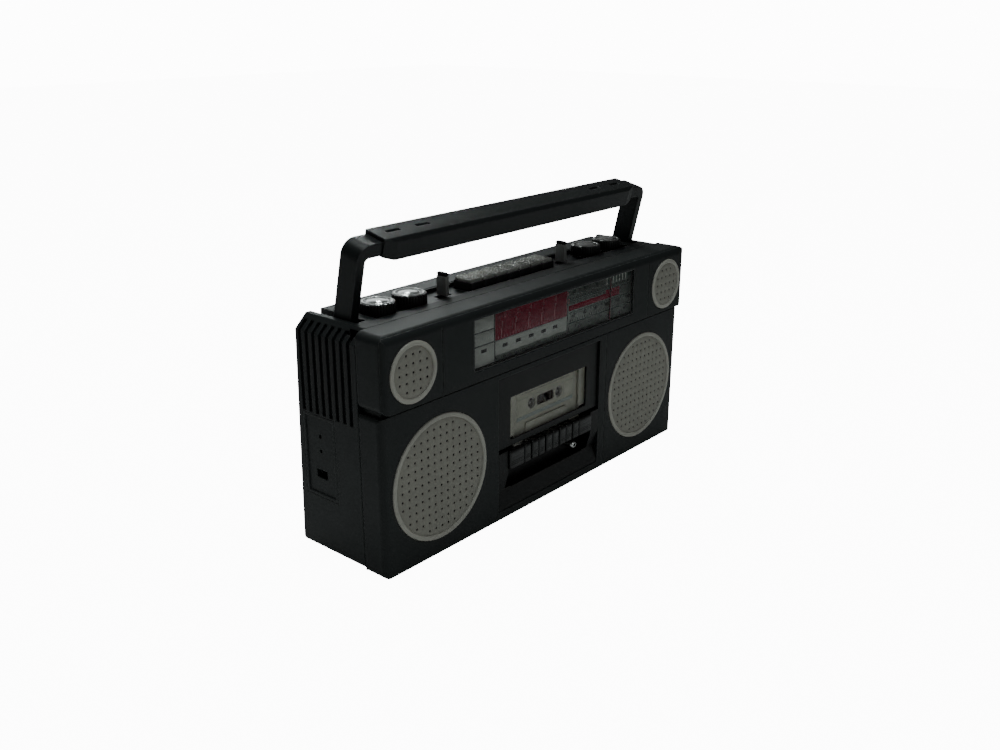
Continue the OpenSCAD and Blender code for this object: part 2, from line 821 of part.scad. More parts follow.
module door_window() {
    wx = window_w / 2 + 2 - panel_gap;
    color([0.8, 0.85, 0.85, 0.3]) in_frame()
        slab(-wx, wx, window_z0 - 2 + panel_gap, window_z0 + window_h + 2 - panel_gap,
            door_inset + 1.2, door_y1, 3 - panel_gap);
}

// Light metal carrier behind the door that the cassette slides into
module cassette_holder() {
    inner = cassette_w / 2 + 0.4;
    outer = inner + 13;
    z0 = cassette_z0 - 1.4;
    z1 = cassette_z0 + cassette_h + 6;
    y0 = door_y1;
    y1 = cassette_y + cassette_t / 2 + 1.8;
    color(metal) in_frame() both_sides() {
        slab(inner, outer, hinge_z + 5, z1, y0, y0 + 1.2);
        slab(inner, inner + 1.2, z0, z1, y0, y1);
        slab(inner - 4, inner + 1.2, cassette_z0 + 20, z1, y1 - 1.2, y1);
        slab(37, inner + 1.2, z0, z0 + 1.2, y0 + 1, y1);
    }
}

module cassette_shell() {
    half = cassette_w / 2;
    y0 = cassette_y - cassette_t / 2;
    y1 = cassette_y + cassette_t / 2;
    t0 = cassette_y - cassette_thick / 2;
    t1 = cassette_y + cassette_thick / 2;
    z0 = cassette_z0;
    color("#b5b7b0") in_frame() difference() {
        union() {
            slab(-half, half, z0, z0 + cassette_h, y0, y1, 1.5);
            along_y(t0, t1, [[-34, z0], [34, z0], [31.5, z0 + 16.5], [-31.5, z0 + 16.5]]);
        }
        // Chambers for the reels and the long window between them
        both_sides() {
            rod_y(hub_spacing / 2, hub_z, y0 - 1, y1 + 1, hub_hole_r + 0.8);
            rod_y(hub_spacing / 2, hub_z, y0 + 1.4, y1 - 1.4, 22);
        }
        slab(-13, 13, hub_z - 5, hub_z + 5, y0 - 1, y1 + 1, 2);
        // Mouth for the heads and the pinch roller, with the capstan's slots
        slab(-32, 32, z0 - 1, z0 + 8, t0 + 1.8, t1 - 1.8);
        both_sides() slab(capstan_x - 3.2, capstan_x + 3.2, z0 - 1, z0 + 9, y1 - 3, t1 + 1);
    }
}

// A tape pack on its toothed hub
module reel(x, pack_r) {
    color("#4a3a30") in_frame() difference() {
        union() {
            rod_y(x, hub_z, cassette_y - 2.6, cassette_y + 2.6, pack_r);
            rod_y(x, hub_z, cassette_y - 3.4, cassette_y + 3.4, hub_hole_r + 0.6);
        }
        rod_y(x, hub_z, cassette_y - 5, cassette_y + 5, hub_hole_r - 0.4);
    }
    color("white") in_frame() for (a = [0 : 60 : 300])
        translate([x, cassette_y - 1.2, hub_z]) rotate([0, a, 0])
            translate([3.5, 0, -0.5]) cube([1.3, 2.4, 1]);
}

module supply_reel() { reel(-hub_spacing / 2, 21); }
module takeup_reel() { reel(hub_spacing / 2, 13); }

// Steel plate that carries the drive, with the shaft of the keys below it
module deck_chassis() {
    ear_x = tape_key_span / 2 + 4;
    color(metal) in_frame() difference() {
        union() {
            slab(-half_bay + 3, half_bay - 3, key_pivot_z + 12, bay_z1 - 6,
                chassis_y, chassis_y + chassis_t);
            both_sides() {
                slab(ear_x, ear_x + 2, key_pivot_z - 6, bay_z1 - 6, chassis_y, key_pivot_y + 5);
                slab(half_bay - 6, half_bay, 80, 130, chassis_y, chassis_y + chassis_t);
            }
            rod_x(-ear_x - 1, ear_x + 1, key_pivot_y, key_pivot_z, key_shaft_r);
        }
        both_sides() rod_y(hub_spacing / 2, hub_z, chassis_y - 1, chassis_y + chassis_t + 1,
            1.5 + running_gap);
        rod_y(capstan_x, capstan_z, chassis_y - 1, chassis_y + chassis_t + 1,
            2.5 + running_gap);
    }
}

module spindle(s) {
    x = s * hub_spacing / 2;
    tip = cassette_y - cassette_t / 2 + 2;
    color("#d8d8d0") in_frame() {
        rod_y(x, hub_z, tip + 2, chassis_y - 1, spindle_r);
        rod_y(x, hub_z, tip, tip + 2, spindle_r - 1, spindle_r);
        rod_y(x, hub_z, chassis_y - 2.1, chassis_y - 0.3, 9);
        rod_y(x, hub_z, chassis_y - 1, chassis_y + chassis_t + 3, 1.5);
        for (a = [30, 150, 270])
            translate([x, tip + 2, hub_z]) rotate([0, a, 0])
                translate([0, 0, -0.4]) cube([spindle_r + 0.4, 6, 0.8]);
    }
}

module supply_spindle() { spindle(-1); }
module takeup_spindle() { spindle(1); }

module flywheel() {
    color(metal) in_frame() {
        rod_y(capstan_x, capstan_z, cassette_y - 2.3, chassis_y - 1, capstan_r);
        rod_y(capstan_x, capstan_z, chassis_y - 1.4, flywheel_y, 2.5);
        difference() {
            rod_y(capstan_x, capstan_z, flywheel_y, flywheel_y + flywheel_t, flywheel_r);
            belt_groove(capstan_x, capstan_z, flywheel_y + flywheel_t / 2, flywheel_r);
        }
    }
}

// A belt groove round a wheel of radius r
module belt_groove(x, z, y, r) {
    translate([x, y, z]) rotate([90, 0, 0]) rotate_extrude() translate([r, 0]) circle(r = 1, $fn = 24);
}

module drive_motor() {
    color(silver) in_frame() {
        rod_y(motor_x, motor_z, chassis_y + chassis_t, flywheel_y - 3, motor_r);
        rod_y(motor_x, motor_z, flywheel_y - 3, flywheel_y + 2, 1);
    }
}

module motor_pulley() {
    color("#c9a45a") in_frame() difference() {
        rod_y(motor_x, motor_z, flywheel_y - 1.5, flywheel_y + flywheel_t, pulley_r + 0.6);
        belt_groove(motor_x, motor_z, flywheel_y + flywheel_t / 2, pulley_r + 0.6);
        rod_y(motor_x, motor_z, flywheel_y - 2, flywheel_y + 2.2, 1 + running_gap);
    }
}

// Flat belt round the flywheel and the pulley, a little clear of both
module drive_belt() {
    color("#0c0c0c") in_frame()
        translate([0, flywheel_y + flywheel_t / 2 + 1, 0]) rotate([90, 0, 0])
            linear_extrude(2) difference() {
                belt_outline(1.2);
                belt_outline(0.4);
            }
}

module belt_outline(out) {
    hull() {
        translate([capstan_x, capstan_z]) circle(r = flywheel_r + out);
        translate([motor_x, motor_z]) circle(r = pulley_r + 0.6 + out);
    }
}

// Sliding plate with the two heads and the pinch roller
module head_carriage() {
    top = cassette_z0 - 1.7;
    plate_y = chassis_y - 2.1;
    color(silver) in_frame() {
        slab(-34, 34, key_pivot_z + 4.5, top, plate_y, chassis_y - 0.3);
        tape_head(-6, 6, top, plate_y);
        tape_head(-17, -11, top, plate_y);
        rod_y(capstan_x, top - 5.3, cassette_y - 3.2, cassette_y + 3.2, 5);
        rod_y(capstan_x, top - 5.3, cassette_y - 4, plate_y + eps, 1.5);
    }
}

module tape_head(x0, x1, top, plate_y) {
    slab(x0, x1, top - 9, top, cassette_y - 3.6, cassette_y + 3.6);
    slab(x0, x1, top - 9, top - carriage_rise - 0.5, cassette_y, plate_y + eps);
}

// A piano key: a finger pad in front, on an arm that turns on the shaft
module tape_key(i) {
    x = (i - (tape_key_count + 1) / 2) * tape_key_pitch;
    w = tape_key_w;
    color(soft_black) in_frame() difference() {
        union() {
            along_x(x - w / 2, x + w / 2, [[-tape_key_proud + 2, tape_key_z0],
                [-tape_key_proud, tape_key_z0 + 3], [-tape_key_proud, tape_key_z1 - 5],
                [0, tape_key_z1], [5, tape_key_z1], [5, tape_key_z0]]);
            slab(x - 4, x + 4, key_pivot_z - 2.4, key_pivot_z + 2.4, 4, key_pivot_y);
            rod_x(x - 5, x + 5, key_pivot_y, key_pivot_z, 4);
        }
        rod_x(x - 6, x + 6, key_pivot_y, key_pivot_z, key_shaft_r + running_gap);
        if (i > 1 && i < tape_key_count)
            slab(x - 1, x + 1, tape_key_z0 + 4, tape_key_z1 + 1, -tape_key_proud - 1,
                -tape_key_proud + 1.2);
    }
}

module record_key() { tape_key(1); }
module rewind_key() { tape_key(2); }
module play_key() { tape_key(3); }
module forward_key() { tape_key(4); }
module stop_key() { tape_key(5); }
module pause_key() { tape_key(6); }

module headphone_jack() {
    color("#c8c8c8") in_frame() difference() {
        union() {
            rod_y(jack_x, jack_z, 5, 16, jack_r - 1);
            rod_y(jack_x, jack_z, 7, 10, jack_r);
        }
        rod_y(jack_x, jack_z, 4, 14, socket_r);
    }
}

// ---- Handle ----

// Places the handle, drawn upright about its pivot, on its leaning axis
module on_handle() {
    in_frame() translate([0, pivot_y, pivot_z]) rotate([handle_lean, 0, 0]) children();
}

module handle_frame() {
    corner = 13;
    inner_r = 4;
    color(black) on_handle() difference() {
        union() {
            both_sides() {
                translate([arm_x - arm_t, -arm_d / 2, 0]) cube([arm_t, arm_d, bar_top - corner]);
                rod_x(arm_x - arm_t, arm_x, 0, 0, arm_d / 2);
            }
            intersection() {
                slab(-arm_x, arm_x, bar_top - 3 * corner, bar_top, -arm_d / 2, arm_d / 2, corner);
                slab(-arm_x, arm_x, bar_top - corner - 1, bar_top, -arm_d / 2, arm_d / 2);
            }
        }
        slab(-arm_x + arm_t, arm_x - arm_t, bar_top - 3 * corner, bar_top - bar_h,
            -arm_d, arm_d, inner_r);
        both_sides() rod_x(arm_x - arm_t - 1, arm_x + 1, 0, 0, pivot_r + running_gap);
    }
}

// Its ends narrow towards the arms, in plan and from below
module handle_grip() {
    w = grip_w / 2;
    z1 = handle_reach;
    z0 = z1 - grip_h;
    end_z = bar_top - bar_h - 1.5;
    d = grip_d / 2;
    end_d = d - 3.4;
    c = 3;
    color(soft_black) on_handle() difference() {
        intersection() {
            along_x(-w, w, [[-d + 1.5, z0], [-d, z0 + 1.5], [-d, z1 - c], [-d + c, z1],
                [d - c, z1], [d, z1 - c], [d, z0 + 1.5], [d - 1.5, z0]]);
            translate([0, 0, z0 - 1]) linear_extrude(grip_h + 2)
                polygon([[-w, -end_d], [-w + 12, -d], [w - 12, -d], [w, -end_d],
                    [w, end_d], [w - 12, d], [-w + 12, d], [-w, end_d]]);
            rotate([90, 0, 0]) linear_extrude(2 * grip_d, center = true)
                polygon([[-w, end_z], [-w + grip_notch, z0], [w - grip_notch, z0],
                    [w, end_z], [w, z1], [-w, z1]]);
        }
        slab(-grip_w, grip_w, bar_top - bar_h - 0.1, bar_top + 0.1, -arm_d / 2 - 0.1,
            arm_d / 2 + 0.1);
        both_sides() for (x = [117, 152]) translate([x, -2, z1 - 1.5]) cube([16, 4, 3]);
    }
}

module handle_pivots() {
    color(metal) in_frame() both_sides() {
        rod_x(slot_in - slot_wall, slot_out + 4.5, pivot_y, pivot_z, pivot_r);
        rod_x(slot_in - slot_wall - 2.5, slot_in - slot_wall, pivot_y, pivot_z, pivot_r + 2);
    }
}

// ---- Power ----

module battery_door() {
    w = battery_w / 2 - panel_gap;
    color(black) in_frame() on_back() {
        translate([-w, -battery_lid_t, battery_hinge_z])
            cube([2 * w, battery_lid_t, battery_z0 + battery_h - panel_gap - battery_hinge_z]);
        rod_x(-w, w, -battery_lid_t / 2, battery_hinge_z, battery_lid_t / 2);
        both_sides() rod_x(w - 1, battery_w / 2 + 3.5, -battery_lid_t / 2, battery_hinge_z,
            battery_pin_r);
        for (x = [-50, 50])
            translate([x - 8, -battery_lid_t - 2, battery_z0 + battery_h - battery_lip - 4])
                cube([16, 3, 3]);
    }
}

// Contact plates with coil springs at both ends of the compartment
module battery_contacts() {
    x1 = battery_w / 2 - 1;
    y = depth_base - battery_d + 15;
    color(metal) in_frame() both_sides() for (z = [battery_z0 + 17, battery_z0 + 45]) {
        translate([x1 - 0.6, y - 9, z - 9]) cube([0.6, 18, 18]);
        for (i = [0 : 5])
            translate([x1 - 0.9 - i * 1.1, y, z]) rotate([0, 90, 0])
                rotate_extrude() translate([6 - i * 0.5, 0]) circle(r = 0.65, $fn = 24);
    }
}

module main_board() {
    color("#2f5a35") in_frame() {
        translate([-trough_l / 2 + 4, trough_y0 + 1, board_z])
            cube([trough_l - 8, trough_w - 2, board_t]);
        for (x = [-outer_knob_x, -inner_knob_x, inner_knob_x, outer_knob_x]) difference() {
            rod_z(x, control_y, board_z + board_t, board_z + board_t + pot_h, pot_r);
            rod_z(x, control_y, board_z + board_t + 3, board_z + board_t + pot_h + 1,
                shaft_r + running_gap);
        }
        both_sides() translate([lever_x - 14, control_y - 5, board_z + board_t]) cube([28, 10, 11]);
        translate([-key_count * key_pitch / 2, key_y0 + 2, board_z + board_t])
            cube([key_count * key_pitch, key_d - 4, 8]);
    }
}

module transformer() {
    x = battery_w / 2 + 16;
    y = 58;
    color("#6b6f73") in_frame() {
        difference() {
            translate([x, y, wall]) cube([44, 34, 36]);
            for (s = [0, 1]) translate([x + 8 + s * 20, y - 1, wall + 6]) cube([8, 36, 24]);
        }
        translate([x + 9, y - 4, wall + 7]) cube([26, 42, 22]);
    }
}

front_cabinet();
tuner_panel();
rear_cabinet();
control_trough();
socket_panel();
feet();
cabinet_screws();
key_bezel();
left_woofer_grille();
right_woofer_grille();
left_tweeter_grille();
right_tweeter_grille();
left_woofer();
right_woofer();
left_tweeter();
right_tweeter();
dial_scale();
dial_lens();
dial_pointer();
volume_knob();
balance_knob();
tone_knob();
tuning_knob();
function_lever();
band_lever();
selector_key_1();
selector_key_2();
selector_key_3();
selector_key_4();
selector_key_5();
selector_key_6();
selector_key_7();
cassette_door();
door_window();
cassette_holder();
cassette_shell();
supply_reel();
takeup_reel();
deck_chassis();
supply_spindle();
takeup_spindle();
flywheel();
drive_motor();
motor_pulley();
drive_belt();
head_carriage();
record_key();
rewind_key();
play_key();
forward_key();
stop_key();
pause_key();
headphone_jack();
handle_frame();
handle_grip();
handle_pivots();
battery_door();
battery_contacts();
main_board();
transformer();
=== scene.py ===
import math

import bmesh
import bpy
from mathutils import Matrix, Vector


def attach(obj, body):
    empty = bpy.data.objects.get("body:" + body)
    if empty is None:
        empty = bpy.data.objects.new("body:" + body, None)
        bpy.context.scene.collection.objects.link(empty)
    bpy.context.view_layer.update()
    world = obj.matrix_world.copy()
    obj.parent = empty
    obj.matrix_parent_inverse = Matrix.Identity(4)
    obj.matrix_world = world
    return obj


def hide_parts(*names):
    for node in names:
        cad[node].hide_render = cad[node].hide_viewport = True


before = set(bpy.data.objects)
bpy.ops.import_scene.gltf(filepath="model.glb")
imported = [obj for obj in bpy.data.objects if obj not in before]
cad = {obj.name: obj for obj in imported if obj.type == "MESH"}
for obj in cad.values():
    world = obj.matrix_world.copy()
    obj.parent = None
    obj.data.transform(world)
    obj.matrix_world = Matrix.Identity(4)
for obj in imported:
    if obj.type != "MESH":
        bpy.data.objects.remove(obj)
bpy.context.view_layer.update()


# Cabinet shells
# The front, the tuner panel and the leaning back are injection moulded in black styrene,
# with a fine spark texture. Screws from the back hold the shells together.

FRONT_Y, FOOT_H = 51.7, 2


def at(x, y, z):
    """A point in millimetres from the middle of the cabinet's front bottom edge."""
    return Vector((x, y - FRONT_Y, z + FOOT_H)) / 1000


def add(tree, kind, **settings):
    node = tree.nodes.new(kind)
    for key, value in settings.items():
        if key in node.inputs:
            node.inputs[key].default_value = value
        else:
            setattr(node, key, value)
    return node


def maths(tree, operation, *terms, **settings):
    """A Math node's result, from sockets and plain numbers."""
    node = add(tree, "ShaderNodeMath", operation=operation, **settings)
    for socket, term in zip(node.inputs, terms):
        if isinstance(term, (int, float)):
            socket.default_value = term
        else:
            tree.links.new(term, socket)
    return node.outputs["Value"]


def ramp(tree, value, start, end, low=0.0, high=1.0):
    """A value's climb from low at start to high at end."""
    node = add(tree, "ShaderNodeMapRange", **{"From Min": start, "From Max": end,
                                              "To Min": low, "To Max": high})
    tree.links.new(value, node.inputs["Value"])
    return node.outputs["Result"]


def surface_group(name, inputs, outputs):
    tree = bpy.data.node_groups.new(name, "ShaderNodeTree")
    for label, kind, value in inputs:
        socket = tree.interface.new_socket(name=label, in_out="INPUT", socket_type=kind)
        socket.default_value = value
    for label, kind in outputs:
        tree.interface.new_socket(name=label, in_out="OUTPUT", socket_type=kind)
    return tree, add(tree, "NodeGroupInput"), add(tree, "NodeGroupOutput")


def moulded_skin_group():
    """Grain, soft edges, wear along them and a little unevenness of colour and gloss."""
    colour, number = "NodeSocketColor", "NodeSocketFloat"
    tree, source, out = surface_group("moulded_skin", [
        ("Colour", colour, (0.5, 0.5, 0.5, 1)), ("Worn Colour", colour, (0.6, 0.6, 0.6, 1)),
        ("Roughness", number, 0.5), ("Grain Scale", number, 1400), ("Grain Depth", number, 0.00004),
        ("Edge Radius", number, 0.0006), ("Wear", number, 0.5), ("Unevenness", number, 0.15),
    ], [("Colour", colour), ("Roughness", number), ("Normal", "NodeSocketVector")])
    link = tree.links.new
    place = add(tree, "ShaderNodeTexCoord").outputs["Object"]
    grain = add(tree, "ShaderNodeTexNoise", Detail=2.0, Roughness=0.6)
    blotch = add(tree, "ShaderNodeTexNoise", Scale=22.0, Detail=4.0)
    scuff = add(tree, "ShaderNodeTexNoise", Scale=170.0, Detail=5.0, Roughness=0.65)
    for noise in (grain, blotch, scuff):
        link(place, noise.inputs["Vector"])
    link(source.outputs["Grain Scale"], grain.inputs["Scale"])
    soft = add(tree, "ShaderNodeBevel", samples=6)
    link(source.outputs["Edge Radius"], soft.inputs["Radius"])
    true_normal = add(tree, "ShaderNodeNewGeometry").outputs["Normal"]
    flatness = add(tree, "ShaderNodeVectorMath", operation="DOT_PRODUCT")
    link(soft.outputs["Normal"], flatness.inputs[0])
    link(true_normal, flatness.inputs[1])
    edge = ramp(tree, flatness.outputs["Value"], 0.99, 0.86)
    patchy = ramp(tree, scuff.outputs["Fac"], 0.42, 0.62)
    worn = maths(tree, "MULTIPLY", maths(tree, "MULTIPLY", edge, patchy), source.outputs["Wear"])
    swing = maths(tree, "SUBTRACT", blotch.outputs["Fac"], 0.5)
    uneven = maths(tree, "MULTIPLY", swing, source.outputs["Unevenness"])
    bright = maths(tree, "MULTIPLY_ADD", uneven, 3.0, 1.0)
    shade = add(tree, "ShaderNodeHueSaturation")
    link(source.outputs["Colour"], shade.inputs["Color"])
    link(bright, shade.inputs["Value"])
    tint = add(tree, "ShaderNodeMix", data_type="RGBA")
    link(worn, tint.inputs["Factor"])
    link(shade.outputs["Color"], tint.inputs[6])
    link(source.outputs["Worn Colour"], tint.inputs[7])
    gloss = maths(tree, "ADD", source.outputs["Roughness"], uneven, use_clamp=True)
    bump = add(tree, "ShaderNodeBump", Strength=1.0)
    link(grain.outputs["Fac"], bump.inputs["Height"])
    link(source.outputs["Grain Depth"], bump.inputs["Distance"])
    link(soft.outputs["Normal"], bump.inputs["Normal"])
    link(tint.outputs[2], out.inputs["Colour"])
    link(gloss, out.inputs["Roughness"])
    link(bump.outputs["Normal"], out.inputs["Normal"])
    return tree


moulded_skin = moulded_skin_group()


def finish(name, colour, worn, roughness, scale=1400, depth=0.00004, edge=0.0006, wear=0.5,
           uneven=0.15, **shader):
    """A material whose surface comes from the moulded skin, with its own values."""
    material = bpy.data.materials.new(name)
    material.use_nodes = True
    tree = material.node_tree
    body = tree.nodes["Principled BSDF"]
    skin = add(tree, "ShaderNodeGroup", node_tree=moulded_skin)
    skin.inputs["Colour"].default_value = (*colour, 1)
    skin.inputs["Worn Colour"].default_value = (*worn, 1)
    values = (roughness, scale, depth, edge, wear, uneven)
    for key, value in zip(("Roughness", "Grain Scale", "Grain Depth", "Edge Radius", "Wear",
                           "Unevenness"), values):
        skin.inputs[key].default_value = value
    tree.links.new(skin.outputs["Colour"], body.inputs["Base Color"])
    tree.links.new(skin.outputs["Roughness"], body.inputs["Roughness"])
    tree.links.new(skin.outputs["Normal"], body.inputs["Normal"])
    for key, value in shader.items():
        body.inputs[key.replace("_", " ")].default_value = value
    return material


def coat(material, *names):
    """Gives CAD nodes a material."""
    for name in names:
        for material_slot in cad[name].material_slots:
            material_slot.material = material


black_styrene = finish("black_styrene", (0.0032, 0.0058, 0.0058), (0.05, 0.058, 0.058), 0.54,
                       edge=0.0012, wear=0.8, Specular_IOR_Level=0.4)
coat(black_styrene, "front_cabinet", "tuner_panel", "rear_cabinet", "battery_door",
     "socket_panel")
trim_black = finish("trim_black", (0.0012, 0.0018, 0.0018), (0.03, 0.034, 0.034), 0.42,
                    scale=2200, depth=0.00002, edge=0.0007, wear=0.7, Specular_IOR_Level=0.3)
coat(trim_black, "control_trough", "key_bezel")


# Speaker grilles
# Each is a disc of thin sheet with a rolled rim and rows of small countersunk holes. It is
# painted light grey and snaps into the seat round its speaker. The rim is drawn in a lighter
# grey, a painted highlight for the light its rolled curve catches.

WOOFER_X, WOOFER_Z, WOOFER_R = 155.5, 73.6, 58.9
TWEETER_X, TWEETER_Z, TWEETER_R = 190.4, 181.3, 27.0
TWEETER_STEP = -4.9
HOLE_PITCH, HOLE_R, SINK_R, HOLES_ACROSS = 7.9, 1.1, 3.0, 15


def turned(bm, profile, centre, axis, steps=64, ink=0, close=False):
    """Turns a profile of (radius, distance along the axis) pairs about an axis, Y or Z."""
    def point(r, h, a):
        if axis == "Y":
            return Vector((r * math.cos(a), h, r * math.sin(a))) / 1000 + centre
        return Vector((r * math.cos(a), r * math.sin(a), h)) / 1000 + centre
    rings = [[bm.verts.new(point(r, h, 2 * math.pi * i / steps)) for i in range(steps)]
             for r, h in profile]
    pairs = list(zip(rings, rings[1:])) + ([(rings[-1], rings[0])] if close else [])
    for low, high in pairs:
        for i in range(steps):
            j = (i + 1) % steps
            bm.faces.new((low[i], low[j], high[j], high[i])).material_index = ink


def as_mesh(bm, name, *materials, angle=35):
    """Closes a piece: doubles merged, faces outwards, soft where it curves."""
    bmesh.ops.remove_doubles(bm, verts=bm.verts, dist=1e-6)
    bmesh.ops.dissolve_degenerate(bm, dist=1e-7, edges=bm.edges)
    bmesh.ops.recalc_face_normals(bm, faces=bm.faces)
    mesh = bpy.data.meshes.new(name)
    bm.to_mesh(mesh)
    bm.free()
    for material in materials:
        mesh.materials.append(material)
    mesh.shade_smooth()
    mesh.set_sharp_from_angle(angle=math.radians(angle))
    return mesh


def shown(name, mesh, body, slot, *replaced):
    """Puts a finished mesh in the scene, on its body."""
    obj = bpy.data.objects.new(name, mesh)
    bpy.context.scene.collection.objects.link(obj)
    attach(obj, body)
    if replaced:
        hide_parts(*replaced)
    return obj


def shape_tree(name, *inputs):
    tree = bpy.data.node_groups.new(name, "GeometryNodeTree")
    tree.interface.new_socket(name="Geometry", in_out="INPUT", socket_type="NodeSocketGeometry")
    for label, kind in inputs:
        tree.interface.new_socket(name=label, in_out="INPUT", socket_type="NodeSocket" + kind)
    tree.interface.new_socket(name="Geometry", in_out="OUTPUT", socket_type="NodeSocketGeometry")
    return tree, add(tree, "NodeGroupInput"), add(tree, "NodeGroupOutput")


def grown(start, tree, **values):
    """Runs a tree on a start mesh and returns what comes out as a plain mesh."""
    obj = bpy.data.objects.new(start.name, start)
    bpy.context.scene.collection.objects.link(obj)
    modifier = obj.modifiers.new("grow", "NODES")
    modifier.node_group = tree
    for item in tree.interface.items_tree:
        if item.in_out == "INPUT" and item.name in values:
            modifier[item.identifier] = values[item.name]
    graph = bpy.context.evaluated_depsgraph_get()
    mesh = bpy.data.meshes.new_from_object(obj.evaluated_get(graph), depsgraph=graph)
    bpy.data.objects.remove(obj)
    return mesh


def pattern_piece(name, mesh):
    """A piece that a tree repeats. It isn't shown itself."""
    return bpy.data.objects.new(name, mesh)


def joined(name, meshes, angle=35):
    """Several meshes as one, each keeping its material."""
    bm = bmesh.new()
    found = []
    for mesh in meshes:
        for material in mesh.materials:
            if material not in found:
                found.append(material)
        own = [found.index(m) for m in mesh.materials] or [0]
        before = len(bm.faces)
        bm.from_mesh(mesh)
        bm.faces.ensure_lookup_table()
        for face in bm.faces[before:]:
            face.material_index = own[min(face.material_index, len(own) - 1)]
    return as_mesh(bm, name, *found, angle=angle)


def grille_tree():
    tree, source, out = shape_tree("grille_holes", ("Cutter", "Object"), ("Radius", "Float"),
                                   ("Pitch", "Float"), ("Middle", "Vector"),
                                   ("Paint", "Material"))
    link = tree.links.new
    grid = add(tree, "GeometryNodeMeshGrid")
    span = maths(tree, "MULTIPLY", source.outputs["Pitch"], HOLES_ACROSS - 1)
    for direction in "XY":
        grid.inputs["Vertices " + direction].default_value = HOLES_ACROSS
        link(span, grid.inputs["Size " + direction])
    here = add(tree, "GeometryNodeInputPosition")
    reach = add(tree, "ShaderNodeVectorMath", operation="LENGTH")
    link(here.outputs[0], reach.inputs[0])
    outside = add(tree, "FunctionNodeCompare", data_type="FLOAT", operation="GREATER_THAN")
    link(reach.outputs["Value"], outside.inputs["A"])
    link(source.outputs["Radius"], outside.inputs["B"])
    drop = add(tree, "GeometryNodeDeleteGeometry", domain="POINT")
    link(grid.outputs["Mesh"], drop.inputs["Geometry"])
    link(outside.outputs["Result"], drop.inputs["Selection"])
    stand = add(tree, "GeometryNodeTransform")
    stand.inputs["Rotation"].default_value = (math.pi / 2, 0, 0)
    link(drop.outputs["Geometry"], stand.inputs["Geometry"])
    link(source.outputs["Middle"], stand.inputs["Translation"])
    cutter = add(tree, "GeometryNodeObjectInfo")
    link(source.outputs["Cutter"], cutter.inputs["Object"])
    holes = add(tree, "GeometryNodeInstanceOnPoints")
    link(stand.outputs["Geometry"], holes.inputs["Points"])
    link(cutter.outputs["Geometry"], holes.inputs["Instance"])
    real = add(tree, "GeometryNodeRealizeInstances")
    link(holes.outputs["Instances"], real.inputs["Geometry"])
    cut = add(tree, "GeometryNodeMeshBoolean", operation="DIFFERENCE", solver="EXACT")
    link(source.outputs["Geometry"], cut.inputs["Mesh 1"])
    link(real.outputs["Geometry"], cut.inputs["Mesh 2"])
    paint = add(tree, "GeometryNodeSetMaterial")
    link(cut.outputs["Mesh"], paint.inputs["Geometry"])
    link(source.outputs["Paint"], paint.inputs["Material"])
    link(paint.outputs["Geometry"], out.inputs["Geometry"])
    return tree


grille_paint = finish("grille_paint", (0.285, 0.28, 0.24), (0.4, 0.4, 0.36), 0.55, scale=900,
                      depth=0.00005, edge=0.0005, wear=0.3, uneven=0.1)
# The rim is the grille's grey drawn lighter: a painted highlight for the light its rolled curve
# catches.
rim_silver = finish("rim_silver", (0.43, 0.425, 0.375), (0.5, 0.5, 0.46), 0.45, scale=900,
                    depth=0.00003, edge=0.0004, wear=0.3, uneven=0.1)
hole_bm = bmesh.new()
turned(hole_bm, [(0, -1.5), (SINK_R + 0.6, -1.5), (SINK_R, 0), (HOLE_R, 0.6), (HOLE_R, 4),
                 (0, 4)], Vector(), "Y", 14)
hole_cutter = pattern_piece("hole_cutter", as_mesh(hole_bm, "hole_cutter"))
grille_holes = grille_tree()
for side, sign in (("left", -1), ("right", 1)):
    for kind, x, z, r, face in (("woofer", WOOFER_X, WOOFER_Z, WOOFER_R, 0.0),
                                ("tweeter", TWEETER_X, TWEETER_Z, TWEETER_R, TWEETER_STEP)):
        disc = bmesh.new()
        middle = at(sign * x, face, z)
        turned(disc, [(0, -0.3), (r - 7.6, -0.15), (r - 5.2, 0.15), (r - 4.6, 0.5),
                      (r - 4.6, 0.9), (0, 0.9)], middle, "Y", 96)
        field_mesh = as_mesh(disc, kind + "_field")
        pierced = grown(field_mesh, grille_holes, Cutter=hole_cutter, Radius=(r - 7.2) / 1000,
                        Pitch=HOLE_PITCH / 1000, Middle=at(sign * x, face - 0.25, z),
                        Paint=grille_paint)
        rim_bm = bmesh.new()
        turned(rim_bm, [(r - 4.5, 1.1), (r - 4.5, 0.1), (r - 4.2, -0.6), (r - 3.4, -1.1),
                        (r - 1.4, -1.15), (r - 0.4, -0.7), (r, 0), (r, 1.1)], middle, "Y", 96,
               close=True)
        rim_mesh = as_mesh(rim_bm, kind + "_rim", rim_silver)
        mesh = joined(f"{side}_{kind}_disc", [pierced, rim_mesh], 30)
        shown(f"{side}_{kind}_disc", mesh, "cabinet", "grilles", f"{side}_{kind}_grille")


# Speakers
# Woofers with a black paper cone in a pressed basket, and small cone tweeters. They sit
# behind the grilles, on the inside of the front.

speaker_black = finish("speaker_black", (0.006, 0.006, 0.006), (0.03, 0.03, 0.03), 0.8, scale=700,
                       depth=0.0001)
coat(speaker_black, "left_woofer", "right_woofer", "left_tweeter", "right_tweeter")


# Tuner dial
# A printed aluminium-coloured scale under a clear acrylic lens. The print has tone and
# level blocks, a red field and the wave band scales, and a red pointer runs in front.

DIAL_X0, DIAL_X1, DIAL_Z0, DIAL_Z1 = -117.3, 129.7, 160.75, 209.75
SCALE_Y = -2.1


